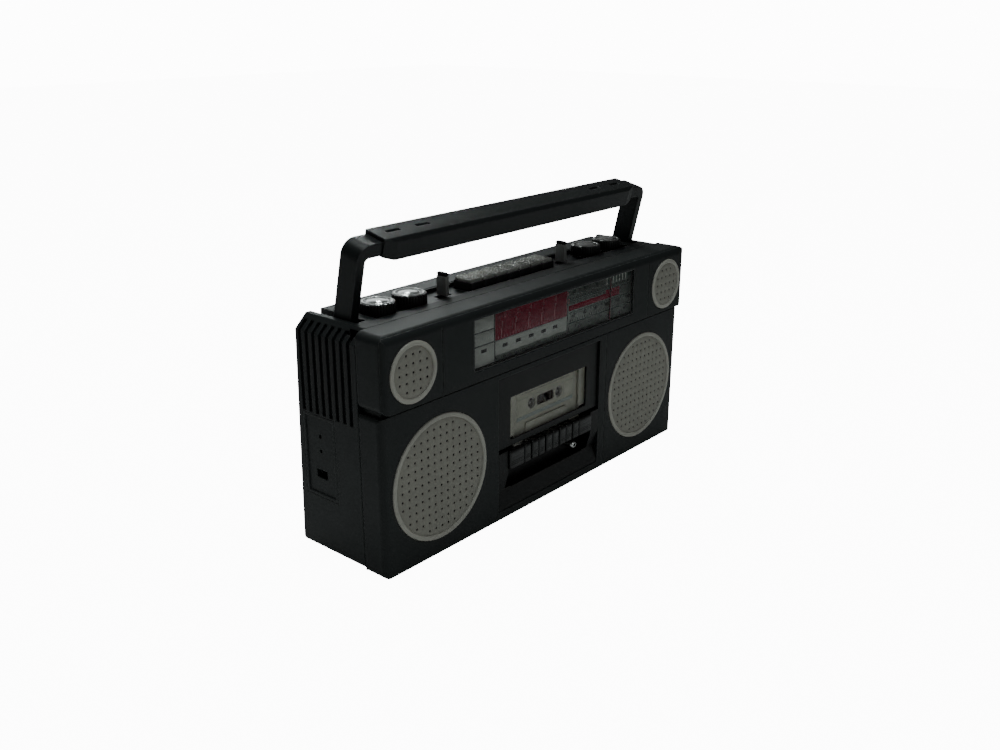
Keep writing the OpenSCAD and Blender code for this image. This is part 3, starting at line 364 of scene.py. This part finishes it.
def line_tree():
    tree, source, out = shape_tree("row_of_marks", ("Mark", "Object"), ("Count", "Int"),
                                   ("Start", "Vector"), ("Step", "Vector"), ("Ink", "Material"))
    link = tree.links.new
    row = add(tree, "GeometryNodeMeshLine")
    link(source.outputs["Count"], row.inputs["Count"])
    link(source.outputs["Start"], row.inputs["Start Location"])
    link(source.outputs["Step"], row.inputs["Offset"])
    mark = add(tree, "GeometryNodeObjectInfo")
    link(source.outputs["Mark"], mark.inputs["Object"])
    marks = add(tree, "GeometryNodeInstanceOnPoints")
    link(row.outputs["Mesh"], marks.inputs["Points"])
    link(mark.outputs["Geometry"], marks.inputs["Instance"])
    real = add(tree, "GeometryNodeRealizeInstances")
    link(marks.outputs["Instances"], real.inputs["Geometry"])
    paint = add(tree, "GeometryNodeSetMaterial")
    link(real.outputs["Geometry"], paint.inputs["Geometry"])
    link(source.outputs["Ink"], paint.inputs["Material"])
    link(paint.outputs["Geometry"], out.inputs["Geometry"])
    return tree


row_of_marks = line_tree()


def stamp(bm, x0, x1, z0, z1, lift=0.06, ink=0, y=SCALE_Y):
    """A thin layer of ink on the scale: a plate with a bevelled edge."""
    edge = min(0.12, (x1 - x0) / 4, (z1 - z0) / 4)
    back = [at(x, y, z) for x, z in ((x0, z0), (x1, z0), (x1, z1), (x0, z1))]
    front = [at(x, y - lift, z) for x, z in ((x0 + edge, z0 + edge), (x1 - edge, z0 + edge),
                                             (x1 - edge, z1 - edge), (x0 + edge, z1 - edge))]
    low, high = [[bm.verts.new(p) for p in ring] for ring in (back, front)]
    faces = [bm.faces.new(high), bm.faces.new(low[::-1])]
    for i in range(4):
        j = (i + 1) % 4
        faces.append(bm.faces.new((low[i], low[j], high[j], high[i])))
    for face in faces:
        face.material_index = ink


def marks(name, width, height, count, x0, z0, dx, material, lift=0.12):
    """A row of like marks, standing on z0, from x0 to the right."""
    one = bmesh.new()
    stamp(one, -width / 2, width / 2, 0, height, lift)
    for vert in one.verts:
        vert.co -= at(0, SCALE_Y, 0)
    mark = pattern_piece(name, as_mesh(one, name))
    return grown(bpy.data.meshes.new(name + "_row"), row_of_marks, Mark=mark, Count=count,
                 Start=at(x0, SCALE_Y, z0), Step=Vector((dx / 1000, 0, 0)), Ink=material)


def figures(text, x, z, height, material, lift=0.14):
    """Figures for the dial, as a mesh."""
    curve = bpy.data.curves.new("figures", "FONT")
    curve.body, curve.size, curve.align_x = text, height / 700, "CENTER"
    curve.extrude = 0.00002
    letters = bpy.data.objects.new("figures", curve)
    bpy.context.scene.collection.objects.link(letters)
    graph = bpy.context.evaluated_depsgraph_get()
    mesh = bpy.data.meshes.new_from_object(letters.evaluated_get(graph), depsgraph=graph)
    bpy.data.objects.remove(letters)
    upright = Matrix.Rotation(math.pi / 2, 4, "X")
    mesh.transform(Matrix.Translation(at(x, SCALE_Y - lift, z)) @ upright)
    mesh.materials.clear()
    mesh.materials.append(material)
    return mesh


ink_silver = finish("ink_silver", (0.30, 0.335, 0.31), (0.2, 0.2, 0.19), 0.42, depth=0.00001)
ink_white = finish("ink_white", (0.38, 0.40, 0.37), (0.4, 0.4, 0.4), 0.5, depth=0.00001)
ink_red = finish("ink_red", (0.17, 0.0012, 0.017), (0.15, 0.01, 0.03), 0.45, depth=0.00001)
ink_pink = finish("ink_pink", (0.42, 0.20, 0.22), (0.3, 0.2, 0.2), 0.45, depth=0.00001)
ink_black = finish("ink_black", (0.008, 0.009, 0.009), (0.02, 0.02, 0.02), 0.4, depth=0.00001)
ink_green = finish("ink_green", (0.006, 0.035, 0.022), (0.05, 0.1, 0.08), 0.45, depth=0.00001)
dial_frame_paint = finish("dial_frame_paint", (0.006, 0.008, 0.008), (0.2, 0.2, 0.2), 0.4)
coat(dial_frame_paint, "dial_scale")

SILVER, WHITE, RED, BLACK, GREEN = range(5)
field = bmesh.new()
stamp(field, DIAL_X0 + 0.3, DIAL_X1 - 0.3, DIAL_Z0 + 0.3, DIAL_Z1 - 0.3, 0.03, SILVER)
for z0, z1 in ((163.4, 181.8), (183.2, 194.2), (195.4, 208)):
    stamp(field, -115.4, -88.0, z0, z1, 0.06, WHITE)
for z in (182.1, 194.4):
    stamp(field, -116, -87.4, z, z + 0.8, 0.1, BLACK)
stamp(field, -105.2, -97.8, 175.4, 178.8, 0.1, BLACK)
stamp(field, -86.2, 18.2, 182.4, 208, 0.06, RED)
stamp(field, -86.2, 18.2, 168.6, 181.6, 0.06, WHITE)
for x in (-72.8, -54.1, -35.7, -17.2, 0.2):
    stamp(field, x - 3.5, x + 3.5, 174.2, 177.6, 0.1, BLACK)
stamp(field, 18.9, 19.9, 161.6, 208.8, 0.1, BLACK)
stamp(field, -87.6, -86.4, 161.6, 208.8, 0.1, BLACK)
stamp(field, 21, 106, 186.4, 191.9, 0.08, RED)
stamp(field, 82, 106, 187.0, 195.4, 0.09, RED)
for z0, z1 in ((184.2, 184.9), (173.4, 174.4), (195.6, 196.3), (206.6, 207.0)):
    stamp(field, 21, 127.5, z0, z1, 0.08, GREEN)
stamp(field, 21, 84, 201.7, 202.3, 0.08, GREEN)
for x0, x1, z0, z1 in ((DIAL_X0, DIAL_X1, 209.2, DIAL_Z1), (DIAL_X0, DIAL_X1, DIAL_Z0, 161.3),
                       (DIAL_X0, -116.6, 161.3, 209.2), (129.0, DIAL_X1, 161.3, 209.2)):
    stamp(field, x0, x1, z0, z1, 0.12, BLACK)
for x0, x1, z0, z1 in ((36.4, 40.8, 167.2, 169.4), (83.5, 88.0, 166.8, 169.0),
                       (105.2, 109.4, 165.9, 168.1)):
    stamp(field, x0, x1, z0, z1, 0.1, BLACK)
print_layers = [as_mesh(field, "print_field", ink_silver, ink_white, ink_red, ink_black,
                        ink_green)]
print_layers += [
    marks("white_ticks", 1.0, 9.0, 6, -78, 184, 19.2, ink_pink),
    marks("white_short_ticks", 0.7, 2.8, 25, -82, 183.4, 4.1, ink_pink),
    marks("tall_ticks", 2.2, 7.0, 7, 84, 200.6, 5.4, ink_white),
    marks("tall_tick_gaps", 2.2, 7.0, 7, 86.7, 200.6, 5.4, ink_green),
    marks("green_ticks", 1.0, 3.0, 21, 24, 197.0, 4.8, ink_green),
    marks("red_ticks", 0.9, 2.2, 17, 25, 192.2, 4.8, ink_green),
    marks("mid_ticks", 0.8, 2.4, 22, 24, 181.6, 4.7, ink_green),
    marks("lower_ticks", 0.7, 2.8, 27, 24, 174.6, 3.9, ink_black),
    marks("fine_marks", 0.7, 1.6, 34, -84, 164.6, 3.0, ink_black),
    marks("fine_marks_right", 0.5, 1.1, 40, 24, 163.8, 2.5, ink_black),
    marks("level_marks", 1.0, 3.2, 8, -112.5, 186.4, 3.2, ink_silver),
]
for row, x0, step, z, height, ink in (("1 2 3 5 7 10", -77, 19.2, 194.0, 5.2, ink_pink),
                                      ("0 2 4 6 8 9", -73, 18.4, 201.6, 4.6, ink_pink),
                                      ("88 92 96 100 104 108", 29, 18.6, 203.0, 3.6, ink_green),
                                      ("53 60 80 100 130 160", 29, 18.6, 179.2, 3.6, ink_black),
                                      ("3 5 7 12 18", 33, 20.6, 168.6, 2.6, ink_black)):
    for i, figure in enumerate(row.split()):
        print_layers.append(figures(figure, x0 + i * step, z, height, ink))
shown("dial_print", joined("dial_print", print_layers), "cabinet", "dial")

LENS_LIP_Y = -4.62
# A thin lighter line round the lens lip: a painted highlight for the light the lens edge catches.
rim = bmesh.new()
for x0, x1, z0, z1 in ((DIAL_X0 + 0.3, DIAL_X0 + 1.3, DIAL_Z0 + 0.4, DIAL_Z1 - 0.4),
                       (DIAL_X1 - 1.3, DIAL_X1 - 0.3, DIAL_Z0 + 0.4, DIAL_Z1 - 0.4),
                       (DIAL_X0 + 1.3, DIAL_X1 - 1.3, DIAL_Z0 + 0.4, DIAL_Z0 + 1.3),
                       (DIAL_X0 + 1.3, DIAL_X1 - 1.3, DIAL_Z1 - 1.3, DIAL_Z1 - 0.4)):
    stamp(rim, x0, x1, z0, z1, 0.15, 0, LENS_LIP_Y)
rim_paint = finish("rim_paint", (0.045, 0.052, 0.05), (0.1, 0.1, 0.1), 0.35)
shown("dial_rim_line", as_mesh(rim, "dial_rim_line", rim_paint), "cabinet", "dial")


def clear_acrylic(name, tint, roughness):
    """Clear plastic with faint scratches and dust."""
    material = bpy.data.materials.new(name)
    material.use_nodes = True
    tree = material.node_tree
    body = tree.nodes["Principled BSDF"]
    place = add(tree, "ShaderNodeTexCoord")
    stretch = add(tree, "ShaderNodeMapping")
    stretch.inputs["Scale"].default_value = (70, 70, 500)
    scratch = add(tree, "ShaderNodeTexNoise", Scale=3.0, Detail=6.0, Roughness=0.7)
    tree.links.new(place.outputs["Object"], stretch.inputs["Vector"])
    tree.links.new(stretch.outputs["Vector"], scratch.inputs["Vector"])
    haze = ramp(tree, scratch.outputs["Fac"], 0.5, 0.8, roughness, roughness + 0.1)
    tree.links.new(haze, body.inputs["Roughness"])
    bump = add(tree, "ShaderNodeBump", Strength=0.06, Distance=0.00001)
    tree.links.new(scratch.outputs["Fac"], bump.inputs["Height"])
    tree.links.new(bump.outputs["Normal"], body.inputs["Normal"])
    body.inputs["Base Color"].default_value = (*tint, 1)
    body.inputs["Alpha"].default_value = 0.07
    body.inputs["IOR"].default_value = 1.49
    return material


lens_acrylic = clear_acrylic("lens_acrylic", (0.02, 0.02, 0.02), 0.05)
coat(lens_acrylic, "dial_lens")
pointer_red = finish("pointer_red", (0.07, 0.01, 0.015), (0.3, 0.1, 0.1), 0.35)
coat(pointer_red, "dial_pointer")


# Knobs
# Four fluted black knobs with spun, domed chrome caps pressed on top. Each is a push fit
# on the steel shaft of its control.

KNOB_BASE, KNOB_H, KNOB_R, CONTROL_Y = 214.1, 12.5, 16.2, 60.0
KNOB_RIBS = 36
GRIP, CAP = 0, 1
SHAFT_FOOT = 195.1 - KNOB_BASE


def ring_tree():
    tree, source, out = shape_tree("ring_of_ribs", ("Rib", "Object"), ("Count", "Int"),
                                   ("Radius", "Float"), ("Middle", "Vector"),
                                   ("Paint", "Material"))
    link = tree.links.new
    ring = add(tree, "GeometryNodeMeshCircle")
    link(source.outputs["Count"], ring.inputs["Vertices"])
    link(source.outputs["Radius"], ring.inputs["Radius"])
    here = add(tree, "GeometryNodeInputPosition")
    turn = add(tree, "FunctionNodeAlignRotationToVector", axis="X")
    link(here.outputs[0], turn.inputs["Vector"])
    rib = add(tree, "GeometryNodeObjectInfo")
    link(source.outputs["Rib"], rib.inputs["Object"])
    ribs = add(tree, "GeometryNodeInstanceOnPoints")
    link(ring.outputs["Mesh"], ribs.inputs["Points"])
    link(rib.outputs["Geometry"], ribs.inputs["Instance"])
    link(turn.outputs["Rotation"], ribs.inputs["Rotation"])
    shift = add(tree, "GeometryNodeTransform")
    link(ribs.outputs["Instances"], shift.inputs["Geometry"])
    link(source.outputs["Middle"], shift.inputs["Translation"])
    real = add(tree, "GeometryNodeRealizeInstances")
    link(shift.outputs["Geometry"], real.inputs["Geometry"])
    paint = add(tree, "GeometryNodeSetMaterial")
    link(real.outputs["Geometry"], paint.inputs["Geometry"])
    link(source.outputs["Paint"], paint.inputs["Material"])
    link(paint.outputs["Geometry"], out.inputs["Geometry"])
    return tree


def soft_block(bm, x0, x1, y0, y1, z0, z1, radius, ink=0, steps=3):
    """A block with rounded edges, between limits in millimetres."""
    part = bmesh.new()
    bmesh.ops.create_cube(part, size=1)
    low, high = at(x0, y0, z0), at(x1, y1, z1)
    for vert in part.verts:
        vert.co = Vector((low[i] if vert.co[i] < 0 else high[i] for i in range(3)))
    bmesh.ops.bevel(part, geom=part.edges[:], offset=radius / 1000, segments=steps, profile=0.5,
                    affect="EDGES")
    for face in part.faces:
        face.material_index = ink
    block = bpy.data.meshes.new("block")
    part.to_mesh(block)
    part.free()
    bm.from_mesh(block)
    bpy.data.meshes.remove(block)


ring_of_ribs = ring_tree()
knob_black = finish("knob_black", (0.003, 0.0036, 0.0036), (0.06, 0.06, 0.06), 0.3, scale=1800)
chrome_cap = finish("chrome_cap", (0.50, 0.51, 0.50), (0.8, 0.8, 0.8), 0.14, scale=3000,
                    depth=0.00001, wear=0.2, Metallic=0.6)
rib_bm = bmesh.new()
soft_block(rib_bm, -0.75, 0.75, -0.85, 0.85, 1.0, KNOB_H - 1.8, 0.35, steps=2)
for vert in rib_bm.verts:
    vert.co -= at(0, 0, 0)
knob_rib = pattern_piece("knob_rib", as_mesh(rib_bm, "knob_rib"))
for name, x in (("volume", -168.5), ("balance", -130.5), ("tone", 130.5), ("tuning", 168.5)):
    middle = at(x, CONTROL_Y, KNOB_BASE)
    knob_bm = bmesh.new()
    turned(knob_bm, [(0, 0), (KNOB_R - 1.2, 0), (KNOB_R - 0.5, 0.6), (KNOB_R - 1.1, 1.2),
                     (KNOB_R - 1.2, KNOB_H - 2.6), (KNOB_R - 0.6, KNOB_H - 2.0),
                     (KNOB_R - 0.9, KNOB_H - 1.3), (KNOB_R - 2.2, KNOB_H - 1.1), (0, KNOB_H - 1.2)],
           middle, "Z", 72, GRIP)
    turned(knob_bm, [(KNOB_R - 2.4, KNOB_H - 1.3), (KNOB_R - 2.3, KNOB_H - 0.8),
                     (KNOB_R - 3.0, KNOB_H - 0.5), (KNOB_R - 4.0, KNOB_H - 0.7),
                     (KNOB_R - 4.6, KNOB_H - 1.3), (KNOB_R - 5.6, KNOB_H - 1.5),
                     (KNOB_R - 7.4, KNOB_H - 0.85), (KNOB_R - 9.8, KNOB_H - 0.35),
                     (KNOB_R - 13, KNOB_H - 0.05), (0, KNOB_H)],
           middle, "Z", 72, CAP)
    body_mesh = as_mesh(knob_bm, name + "_knob_body", knob_black, chrome_cap)
    ribs = grown(bpy.data.meshes.new(name + "_ribs"), ring_of_ribs, Rib=knob_rib,
                 Count=KNOB_RIBS, Radius=(KNOB_R - 1.1) / 1000, Middle=middle, Paint=knob_black)
    line = bmesh.new()
    soft_block(line, x - 0.5, x + 0.5, CONTROL_Y - KNOB_R + 1.0, CONTROL_Y - KNOB_R + 5.2,
               KNOB_BASE + KNOB_H - 1.2, KNOB_BASE + KNOB_H - 0.5, 0.15, steps=2)
    line_mesh = as_mesh(line, name + "_line", ink_white)
    shaft = bmesh.new()
    turned(shaft, [(0, SHAFT_FOOT), (2.6, SHAFT_FOOT), (3, SHAFT_FOOT + 0.4), (3, 0.5),
                   (0, 0.5)], middle, "Z", 24)
    shaft_mesh = as_mesh(shaft, name + "_shaft", chrome_cap)
    shown(name + "_knob_turned", joined(name + "_knob", [body_mesh, ribs, line_mesh, shaft_mesh]),
          name + "_knob", "knobs", name + "_knob")


# Selector levers
# Two flat levers stand in slots in the trough: moulded stems with satin silver sides and
# black finger tips. Each works a slide switch on the board below.

SIDES, TIP = 0, 1
lever_silver = finish("lever_silver", (0.22, 0.23, 0.22), (0.4, 0.4, 0.4), 0.3)
for name, x in (("function", -88.0), ("band", 88.0)):
    lever = bmesh.new()
    soft_block(lever, x - 2.3, x + 2.3, 54, 66, 213.9, 232.4, 0.7, SIDES)
    soft_block(lever, x - 1.9, x + 1.9, 54.4, 65.6, 231.8, 236.0, 1.2, TIP)
    for z in (233.2, 234.4):
        soft_block(lever, x - 2.2, x + 2.2, 54.1, 65.9, z, z + 0.6, 0.25, TIP, 2)
    soft_block(lever, x - 1.5, x + 1.5, 57, 63, 205.5, 214.4, 0.3, TIP, 2)
    shown(name + "_lever_moulding", as_mesh(lever, name + "_lever", lever_silver, trim_black),
          name + "_lever", "trough", name + "_lever")


# Selector keys
# A bank of seven push keys: black moulded blocks with pebbled silver tops. A small white dot
# on every second one is a painted highlight. A coil spring under each one pushes it back up.

SELECTOR_PITCH = 17.6
TOP, BLOCK, PAINTED_GLINT = range(3)
key_silver = finish("key_silver", (0.42, 0.43, 0.40), (0.5, 0.5, 0.48), 0.3, scale=420,
                    depth=0.0009, edge=0.0005, uneven=0.25, Metallic=0.6)
key_black = finish("key_black", (0.003, 0.0036, 0.0036), (0.04, 0.04, 0.04), 0.4)
for number in range(1, 8):
    x = (number - 4) * SELECTOR_PITCH
    key = bmesh.new()
    soft_block(key, x - 8.5, x + 8.5, 48.05, 71.95, 205.6, 221.6, 0.8, BLOCK)
    soft_block(key, x - 7.9, x + 7.9, 49.4, 71.4, 220.6, 224.6, 1.5, TOP, 4)
    for row in range(5):
        for column in range(3):
            y, left = 53.8 + row * 3.6, x - 6.2 + column * 4.4
            soft_block(key, left, left + 3.6, y, y + 2.4, 224.2, 225.2, 0.5, TOP, 2)
    # A small white dot on every second key top: a painted highlight.
    if number % 2 == 0:
        turned(key, [(0, 225.0), (1.3, 224.9), (1.5, 224.5), (1.5, 223.5), (0, 223.5)],
               at(x, 51.6, 0), "Z", 20, PAINTED_GLINT)
    mesh = as_mesh(key, f"selector_key_{number}", key_silver, key_black, ink_white)
    shown(f"selector_key_{number}_moulding", mesh, f"selector_key_{number}", "selector_keys",
          f"selector_key_{number}")


# Cassette door and tape
# A black door with a clear window, hinged at its lower edge, and a pressed steel holder on
# its back. The cassette in it is light grey styrene, with a paper label and screws.

coat(trim_black, "cassette_door")
coat(lens_acrylic, "door_window")
holder_steel = finish("holder_steel", (0.38, 0.38, 0.32), (0.4, 0.4, 0.4), 0.4, Metallic=0.2)
coat(holder_steel, "cassette_holder")
cassette_grey = finish("cassette_grey", (0.40, 0.40, 0.335), (0.3, 0.3, 0.28), 0.45)
coat(cassette_grey, "cassette_shell")
hub_white = finish("hub_white", (0.35, 0.35, 0.33), (0.5, 0.5, 0.5), 0.45)
tape_brown = finish("tape_brown", (0.022, 0.012, 0.008), (0.05, 0.03, 0.02), 0.3, scale=2600)
coat(hub_white, "supply_spindle", "takeup_spindle")
HUB_X, HUB_Z, CASSETTE_Y, CASSETTE_FACE = 21.25, 102.0, 12.35, 8.0
TAPE, HUB = 0, 1
for name, x, pack in (("supply", -HUB_X, 21.0), ("takeup", HUB_X, 13.0)):
    reel = bmesh.new()
    middle = at(x, CASSETTE_Y, HUB_Z)
    turned(reel, [(5.3, -2.4), (pack - 0.3, -2.6), (pack, -2.3), (pack, 2.3), (pack - 0.3, 2.6),
                  (5.3, 2.4)], middle, "Y", 96, TAPE, True)
    turned(reel, [(4.4, -3.2), (4.7, -3.4), (5.2, -3.4), (5.4, -3.1), (5.4, 3.1), (5.2, 3.4),
                  (4.7, 3.4), (4.4, 3.2)], middle, "Y", 48, HUB, True)
    reel_mesh = as_mesh(reel, name + "_reel", tape_brown, hub_white)
    tooth = bmesh.new()
    soft_block(tooth, -0.45, 0.45, -0.45, 0.45, -1.2, 1.2, 0.2, steps=2)
    for vert in tooth.verts:
        vert.co -= at(0, 0, 0)
    tooth_piece = pattern_piece(name + "_tooth", as_mesh(tooth, name + "_tooth"))
    teeth = grown(bpy.data.meshes.new(name + "_teeth"), ring_of_ribs, Rib=tooth_piece, Count=6,
                  Radius=0.00405, Middle=Vector(), Paint=hub_white)
    teeth.transform(Matrix.Translation(middle) @ Matrix.Rotation(math.pi / 2, 4, "X"))
    shown(name + "_tape", joined(name + "_tape", [reel_mesh, teeth]), name + "_reel", "tape",
          name + "_reel")

label_paper = finish("label_paper", (0.45, 0.45, 0.38), (0.4, 0.4, 0.36), 0.7, scale=600,
                     depth=0.00003)
PAPER, BAND, LINE = range(3)
label = bmesh.new()
for x0, x1, z0, z1, ink in ((-44, 44, 110.2, 127.5, PAPER), (-44, -29.5, 92.5, 109.9, PAPER),
                            (29.5, 44, 92.5, 109.9, PAPER), (-44, 44, 88.4, 92.3, BAND)):
    stamp(label, x0, x1, z0, z1, 0.1, ink, CASSETTE_FACE)
for z in (114.5, 118.5, 122.5):
    stamp(label, -38, 38, z, z + 0.3, 0.14, LINE, CASSETTE_FACE)
shown("cassette_label", as_mesh(label, "cassette_label", label_paper, ink_silver, ink_black),
      "door", "cassette")


# Screws
# Plated cross-head screws clamp the cabinet from behind, and smaller ones of the same kind
# hold the halves of the cassette. Their heads lie in round recesses.

steel = finish("zinc_steel", (0.4, 0.4, 0.38), (0.6, 0.6, 0.58), 0.32, scale=1600,
               depth=0.00001, Metallic=1.0)
coat(steel, "cabinet_screws")
screw_bm = bmesh.new()
turned(screw_bm, [(0.35, -0.15), (0.75, -0.35), (1.15, -0.3), (1.3, 0.0), (1.3, 0.2), (0, 0.2),
                  (0, -0.1), (0.35, -0.1)], Vector(), "Y", 24)
small_screw = pattern_piece("small_screw", as_mesh(screw_bm, "small_screw"))
SCREW_X = 47
across = Vector((2 * SCREW_X / 1000, 0, 0))
pairs = [grown(bpy.data.meshes.new(row + "_screws"), row_of_marks, Mark=small_screw, Count=2,
               Start=at(-SCREW_X, CASSETTE_FACE, z), Step=across, Ink=steel)
         for row, z in (("upper", 129), ("lower", 71.5))]
shown("cassette_screws", joined("cassette_screws", pairs), "door", "cassette")


# Transport keys
# Six piano keys on one steel shaft, moulded in black with a rounded, ribbed finger pad.
# The four in the middle have a split down the middle of the pad.

KEYS = ("record", "rewind", "play", "forward", "stop", "pause")
TAPE_KEY_PITCH, BARREL_STEPS, BARREL_PROFILE = 21.7, 32, 6
PAD, INSET = 0, 1
tape_key_black = finish("tape_key_black", (0.0022, 0.003, 0.003), (0.09, 0.095, 0.095), 0.3,
                        wear=0.8)
key_inset = finish("key_inset", (0.018, 0.02, 0.019), (0.1, 0.1, 0.1), 0.35)
for index, name in enumerate(KEYS):
    x = (index - 2.5) * TAPE_KEY_PITCH
    key = bmesh.new()
    pads = [(x - 10.6, x + 10.6)]
    if 0 < index < 5:
        pads = [(x - 10.6, x - 1.0), (x + 1.0, x + 10.6)]
    for x0, x1 in pads:
        soft_block(key, x0, x1, -2.5, 5.0, 49.0, 67.6, 1.8, PAD, 4)
        for z in (52.6, 54.4, 56.2):
            soft_block(key, x0 + 1.4, x1 - 1.4, -2.75, 1.0, z, z + 0.9, 0.3, PAD, 2)
        soft_block(key, x0 + 1.2, x1 - 1.2, -2.7, 1.0, 61.6, 65.8, 0.6, INSET)
    soft_block(key, x - 9.0, x + 9.0, 1.5, 4.8, 50.0, 66.0, 0.8, PAD, 2)
    soft_block(key, x - 4.0, x + 4.0, 4.0, 32.0, 49.1, 53.9, 0.8, PAD, 2)
    turned(key, [(2.05, 0), (3.7, 0), (4, 0.3), (4, 9.7), (3.7, 10), (2.05, 10)], Vector(), "Z",
           BARREL_STEPS, close=True)
    key.verts.ensure_lookup_table()
    for vert in key.verts[-BARREL_PROFILE * BARREL_STEPS:]:
        vert.co = Matrix.Rotation(math.pi / 2, 3, "Y") @ vert.co + at(x - 5, 34, 51.5)
    mesh = as_mesh(key, name + "_key", tape_key_black, key_inset)
    shown(name + "_key_moulding", mesh, name + "_key", "tape_keys", name + "_key")


# Headphone jack
# A chromed bush with a domed collar round its bore, screwed through the back of the
# finger hollow.

jack_chrome = finish("jack_chrome", (0.62, 0.63, 0.62), (0.7, 0.7, 0.7), 0.15, scale=2600,
                     depth=0.00001, Metallic=1.0)
jack = bmesh.new()
turned(jack, [(1.8, 0.0), (2.3, -0.1), (3.2, 0.5), (4.1, 1.8), (4.5, 3.2), (4.3, 4.6),
              (3.5, 5.4), (3.5, 11), (1.8, 11)], at(46, 5.2, 36.5), "Y", 48, close=True)
shown("jack_bush", as_mesh(jack, "jack_bush", jack_chrome), "cabinet", "jack", "headphone_jack")


# Handle
# A U-shaped bar of glass-filled plastic with a thick moulded grip round its crossbar. It
# turns on two shouldered pins in the cheeks, and leans forward on its stop.

handle_black = finish("handle_black", (0.0028, 0.0048, 0.0048), (0.05, 0.058, 0.058), 0.42,
                      scale=1100, depth=0.00006, edge=0.0018, wear=0.8, Specular_IOR_Level=0.4)
coat(handle_black, "handle_frame", "handle_grip")
coat(steel, "handle_pivots")


# Feet and drive belt
# Four black rubber feet are glued under the corners. The belt inside, from the motor to
# the flywheel, is a loop of the same rubber.

foot_rubber = finish("foot_rubber", (0.012, 0.012, 0.012), (0.03, 0.03, 0.03), 0.8, scale=500,
                     depth=0.0001)
coat(foot_rubber, "feet", "drive_belt")


# Works
# The deck's chassis, head plate, flywheel and motor can are plated steel, and the pulley is
# turned brass. The board and the transformer's varnished laminations are behind them.

coat(steel, "deck_chassis", "head_carriage", "flywheel", "battery_contacts", "drive_motor")
pulley_brass = finish("pulley_brass", (0.5, 0.32, 0.11), (0.7, 0.5, 0.2), 0.25, Metallic=1.0)
coat(pulley_brass, "motor_pulley")
board_green = finish("board_green", (0.015, 0.07, 0.025), (0.1, 0.12, 0.05), 0.4)
coat(board_green, "main_board")
lamination_grey = finish("lamination_grey", (0.08, 0.08, 0.09), (0.2, 0.15, 0.1), 0.5,
                         Metallic=0.6)
coat(lamination_grey, "transformer")


# Floor, light and camera
# A flat pale table stands under a large soft light from above. Weak fills come from the
# front and the back, and a small lamp behind gives the caps their highlights.

TABLE_HALF = 6
floor_bm = bmesh.new()
for x, y in ((-1, -1), (1, -1), (1, 1), (-1, 1)):
    floor_bm.verts.new((x * TABLE_HALF, y * TABLE_HALF, 0))
floor_bm.faces.new(floor_bm.verts)
pale = bpy.data.materials.new("pale_table")
pale.use_nodes = True
tree = pale.node_tree
matt = tree.nodes["Principled BSDF"]
matt.inputs["Base Color"].default_value = (0.8, 0.8, 0.8, 1)
matt.inputs["Roughness"].default_value = 0.9
glow = add(tree, "ShaderNodeEmission", Color=(1, 1, 1, 1), Strength=12.0)
camera_sees = add(tree, "ShaderNodeLightPath")
lit_and_glowing = add(tree, "ShaderNodeAddShader")
either = add(tree, "ShaderNodeMixShader")
tree.links.new(camera_sees.outputs["Is Camera Ray"], either.inputs["Fac"])
tree.links.new(matt.outputs[0], either.inputs[1])
tree.links.new(matt.outputs[0], lit_and_glowing.inputs[0])
tree.links.new(glow.outputs[0], lit_and_glowing.inputs[1])
tree.links.new(lit_and_glowing.outputs[0], either.inputs[2])
tree.links.new(either.outputs[0], tree.nodes["Material Output"].inputs["Surface"])
floor_mesh = bpy.data.meshes.new("table")
floor_bm.to_mesh(floor_mesh)
floor_bm.free()
floor_mesh.materials.append(pale)
table = bpy.data.objects.new("table", floor_mesh)
bpy.context.scene.collection.objects.link(table)

world = bpy.data.worlds.new("studio")
world.use_nodes = True
bpy.context.scene.world = world
sky = world.node_tree
backdrop = sky.nodes["Background"]
backdrop.inputs["Color"].default_value = (1, 1, 1, 1)
backdrop.inputs["Strength"].default_value = 0.075
seen_sky = add(sky, "ShaderNodeLightPath")
white = add(sky, "ShaderNodeBackground", Strength=13.0)
white.inputs["Color"].default_value = (1, 1, 1, 1)
choose = add(sky, "ShaderNodeMixShader")
sky.links.new(seen_sky.outputs["Is Camera Ray"], choose.inputs["Fac"])
sky.links.new(backdrop.outputs[0], choose.inputs[1])
sky.links.new(white.outputs[0], choose.inputs[2])
sky.links.new(choose.outputs[0], sky.nodes["World Output"].inputs["Surface"])


def soft_light(name, place, target, size, watts):
    lamp = bpy.data.lights.new(name, "AREA")
    lamp.shape, lamp.size, lamp.energy = "DISK", size, watts
    lamp.color = (0.93, 1.0, 0.99)
    obj = bpy.data.objects.new(name, lamp)
    obj.location = place
    obj.rotation_euler = (Vector(target) - Vector(place)).to_track_quat("-Z", "Y").to_euler()
    bpy.context.scene.collection.objects.link(obj)


soft_light("overhead_box", (-0.1, 0.1, 1.5), (0, 0, 0.15), 0.9, 11)
soft_light("front_fill", (-0.3, -1.8, 0.8), (0, 0, 0.1), 0.8, 2.8)
soft_light("rear_fill", (1.1, 1.6, 0.7), (0, 0, 0.1), 0.9, 3.2)
soft_light("small_lamp", (0.62, 0.85, 0.86), (0, 0, 0.2), 0.07, 1.3)

camera = bpy.data.cameras.new("camera")
camera.sensor_width, camera.lens = 36, 37.08
camera.clip_start = 0.01
eye = bpy.data.objects.new("camera", camera)
heading, dip = 0.8566, 0.342
eye.location = (-0.74376, -0.62937, 0.46352)
ahead = Vector((math.sin(heading) * math.cos(dip), math.cos(heading) * math.cos(dip),
                -math.sin(dip)))
eye.rotation_euler = ahead.to_track_quat("-Z", "Y").to_euler()
bpy.context.scene.collection.objects.link(eye)
bpy.context.scene.camera = eye
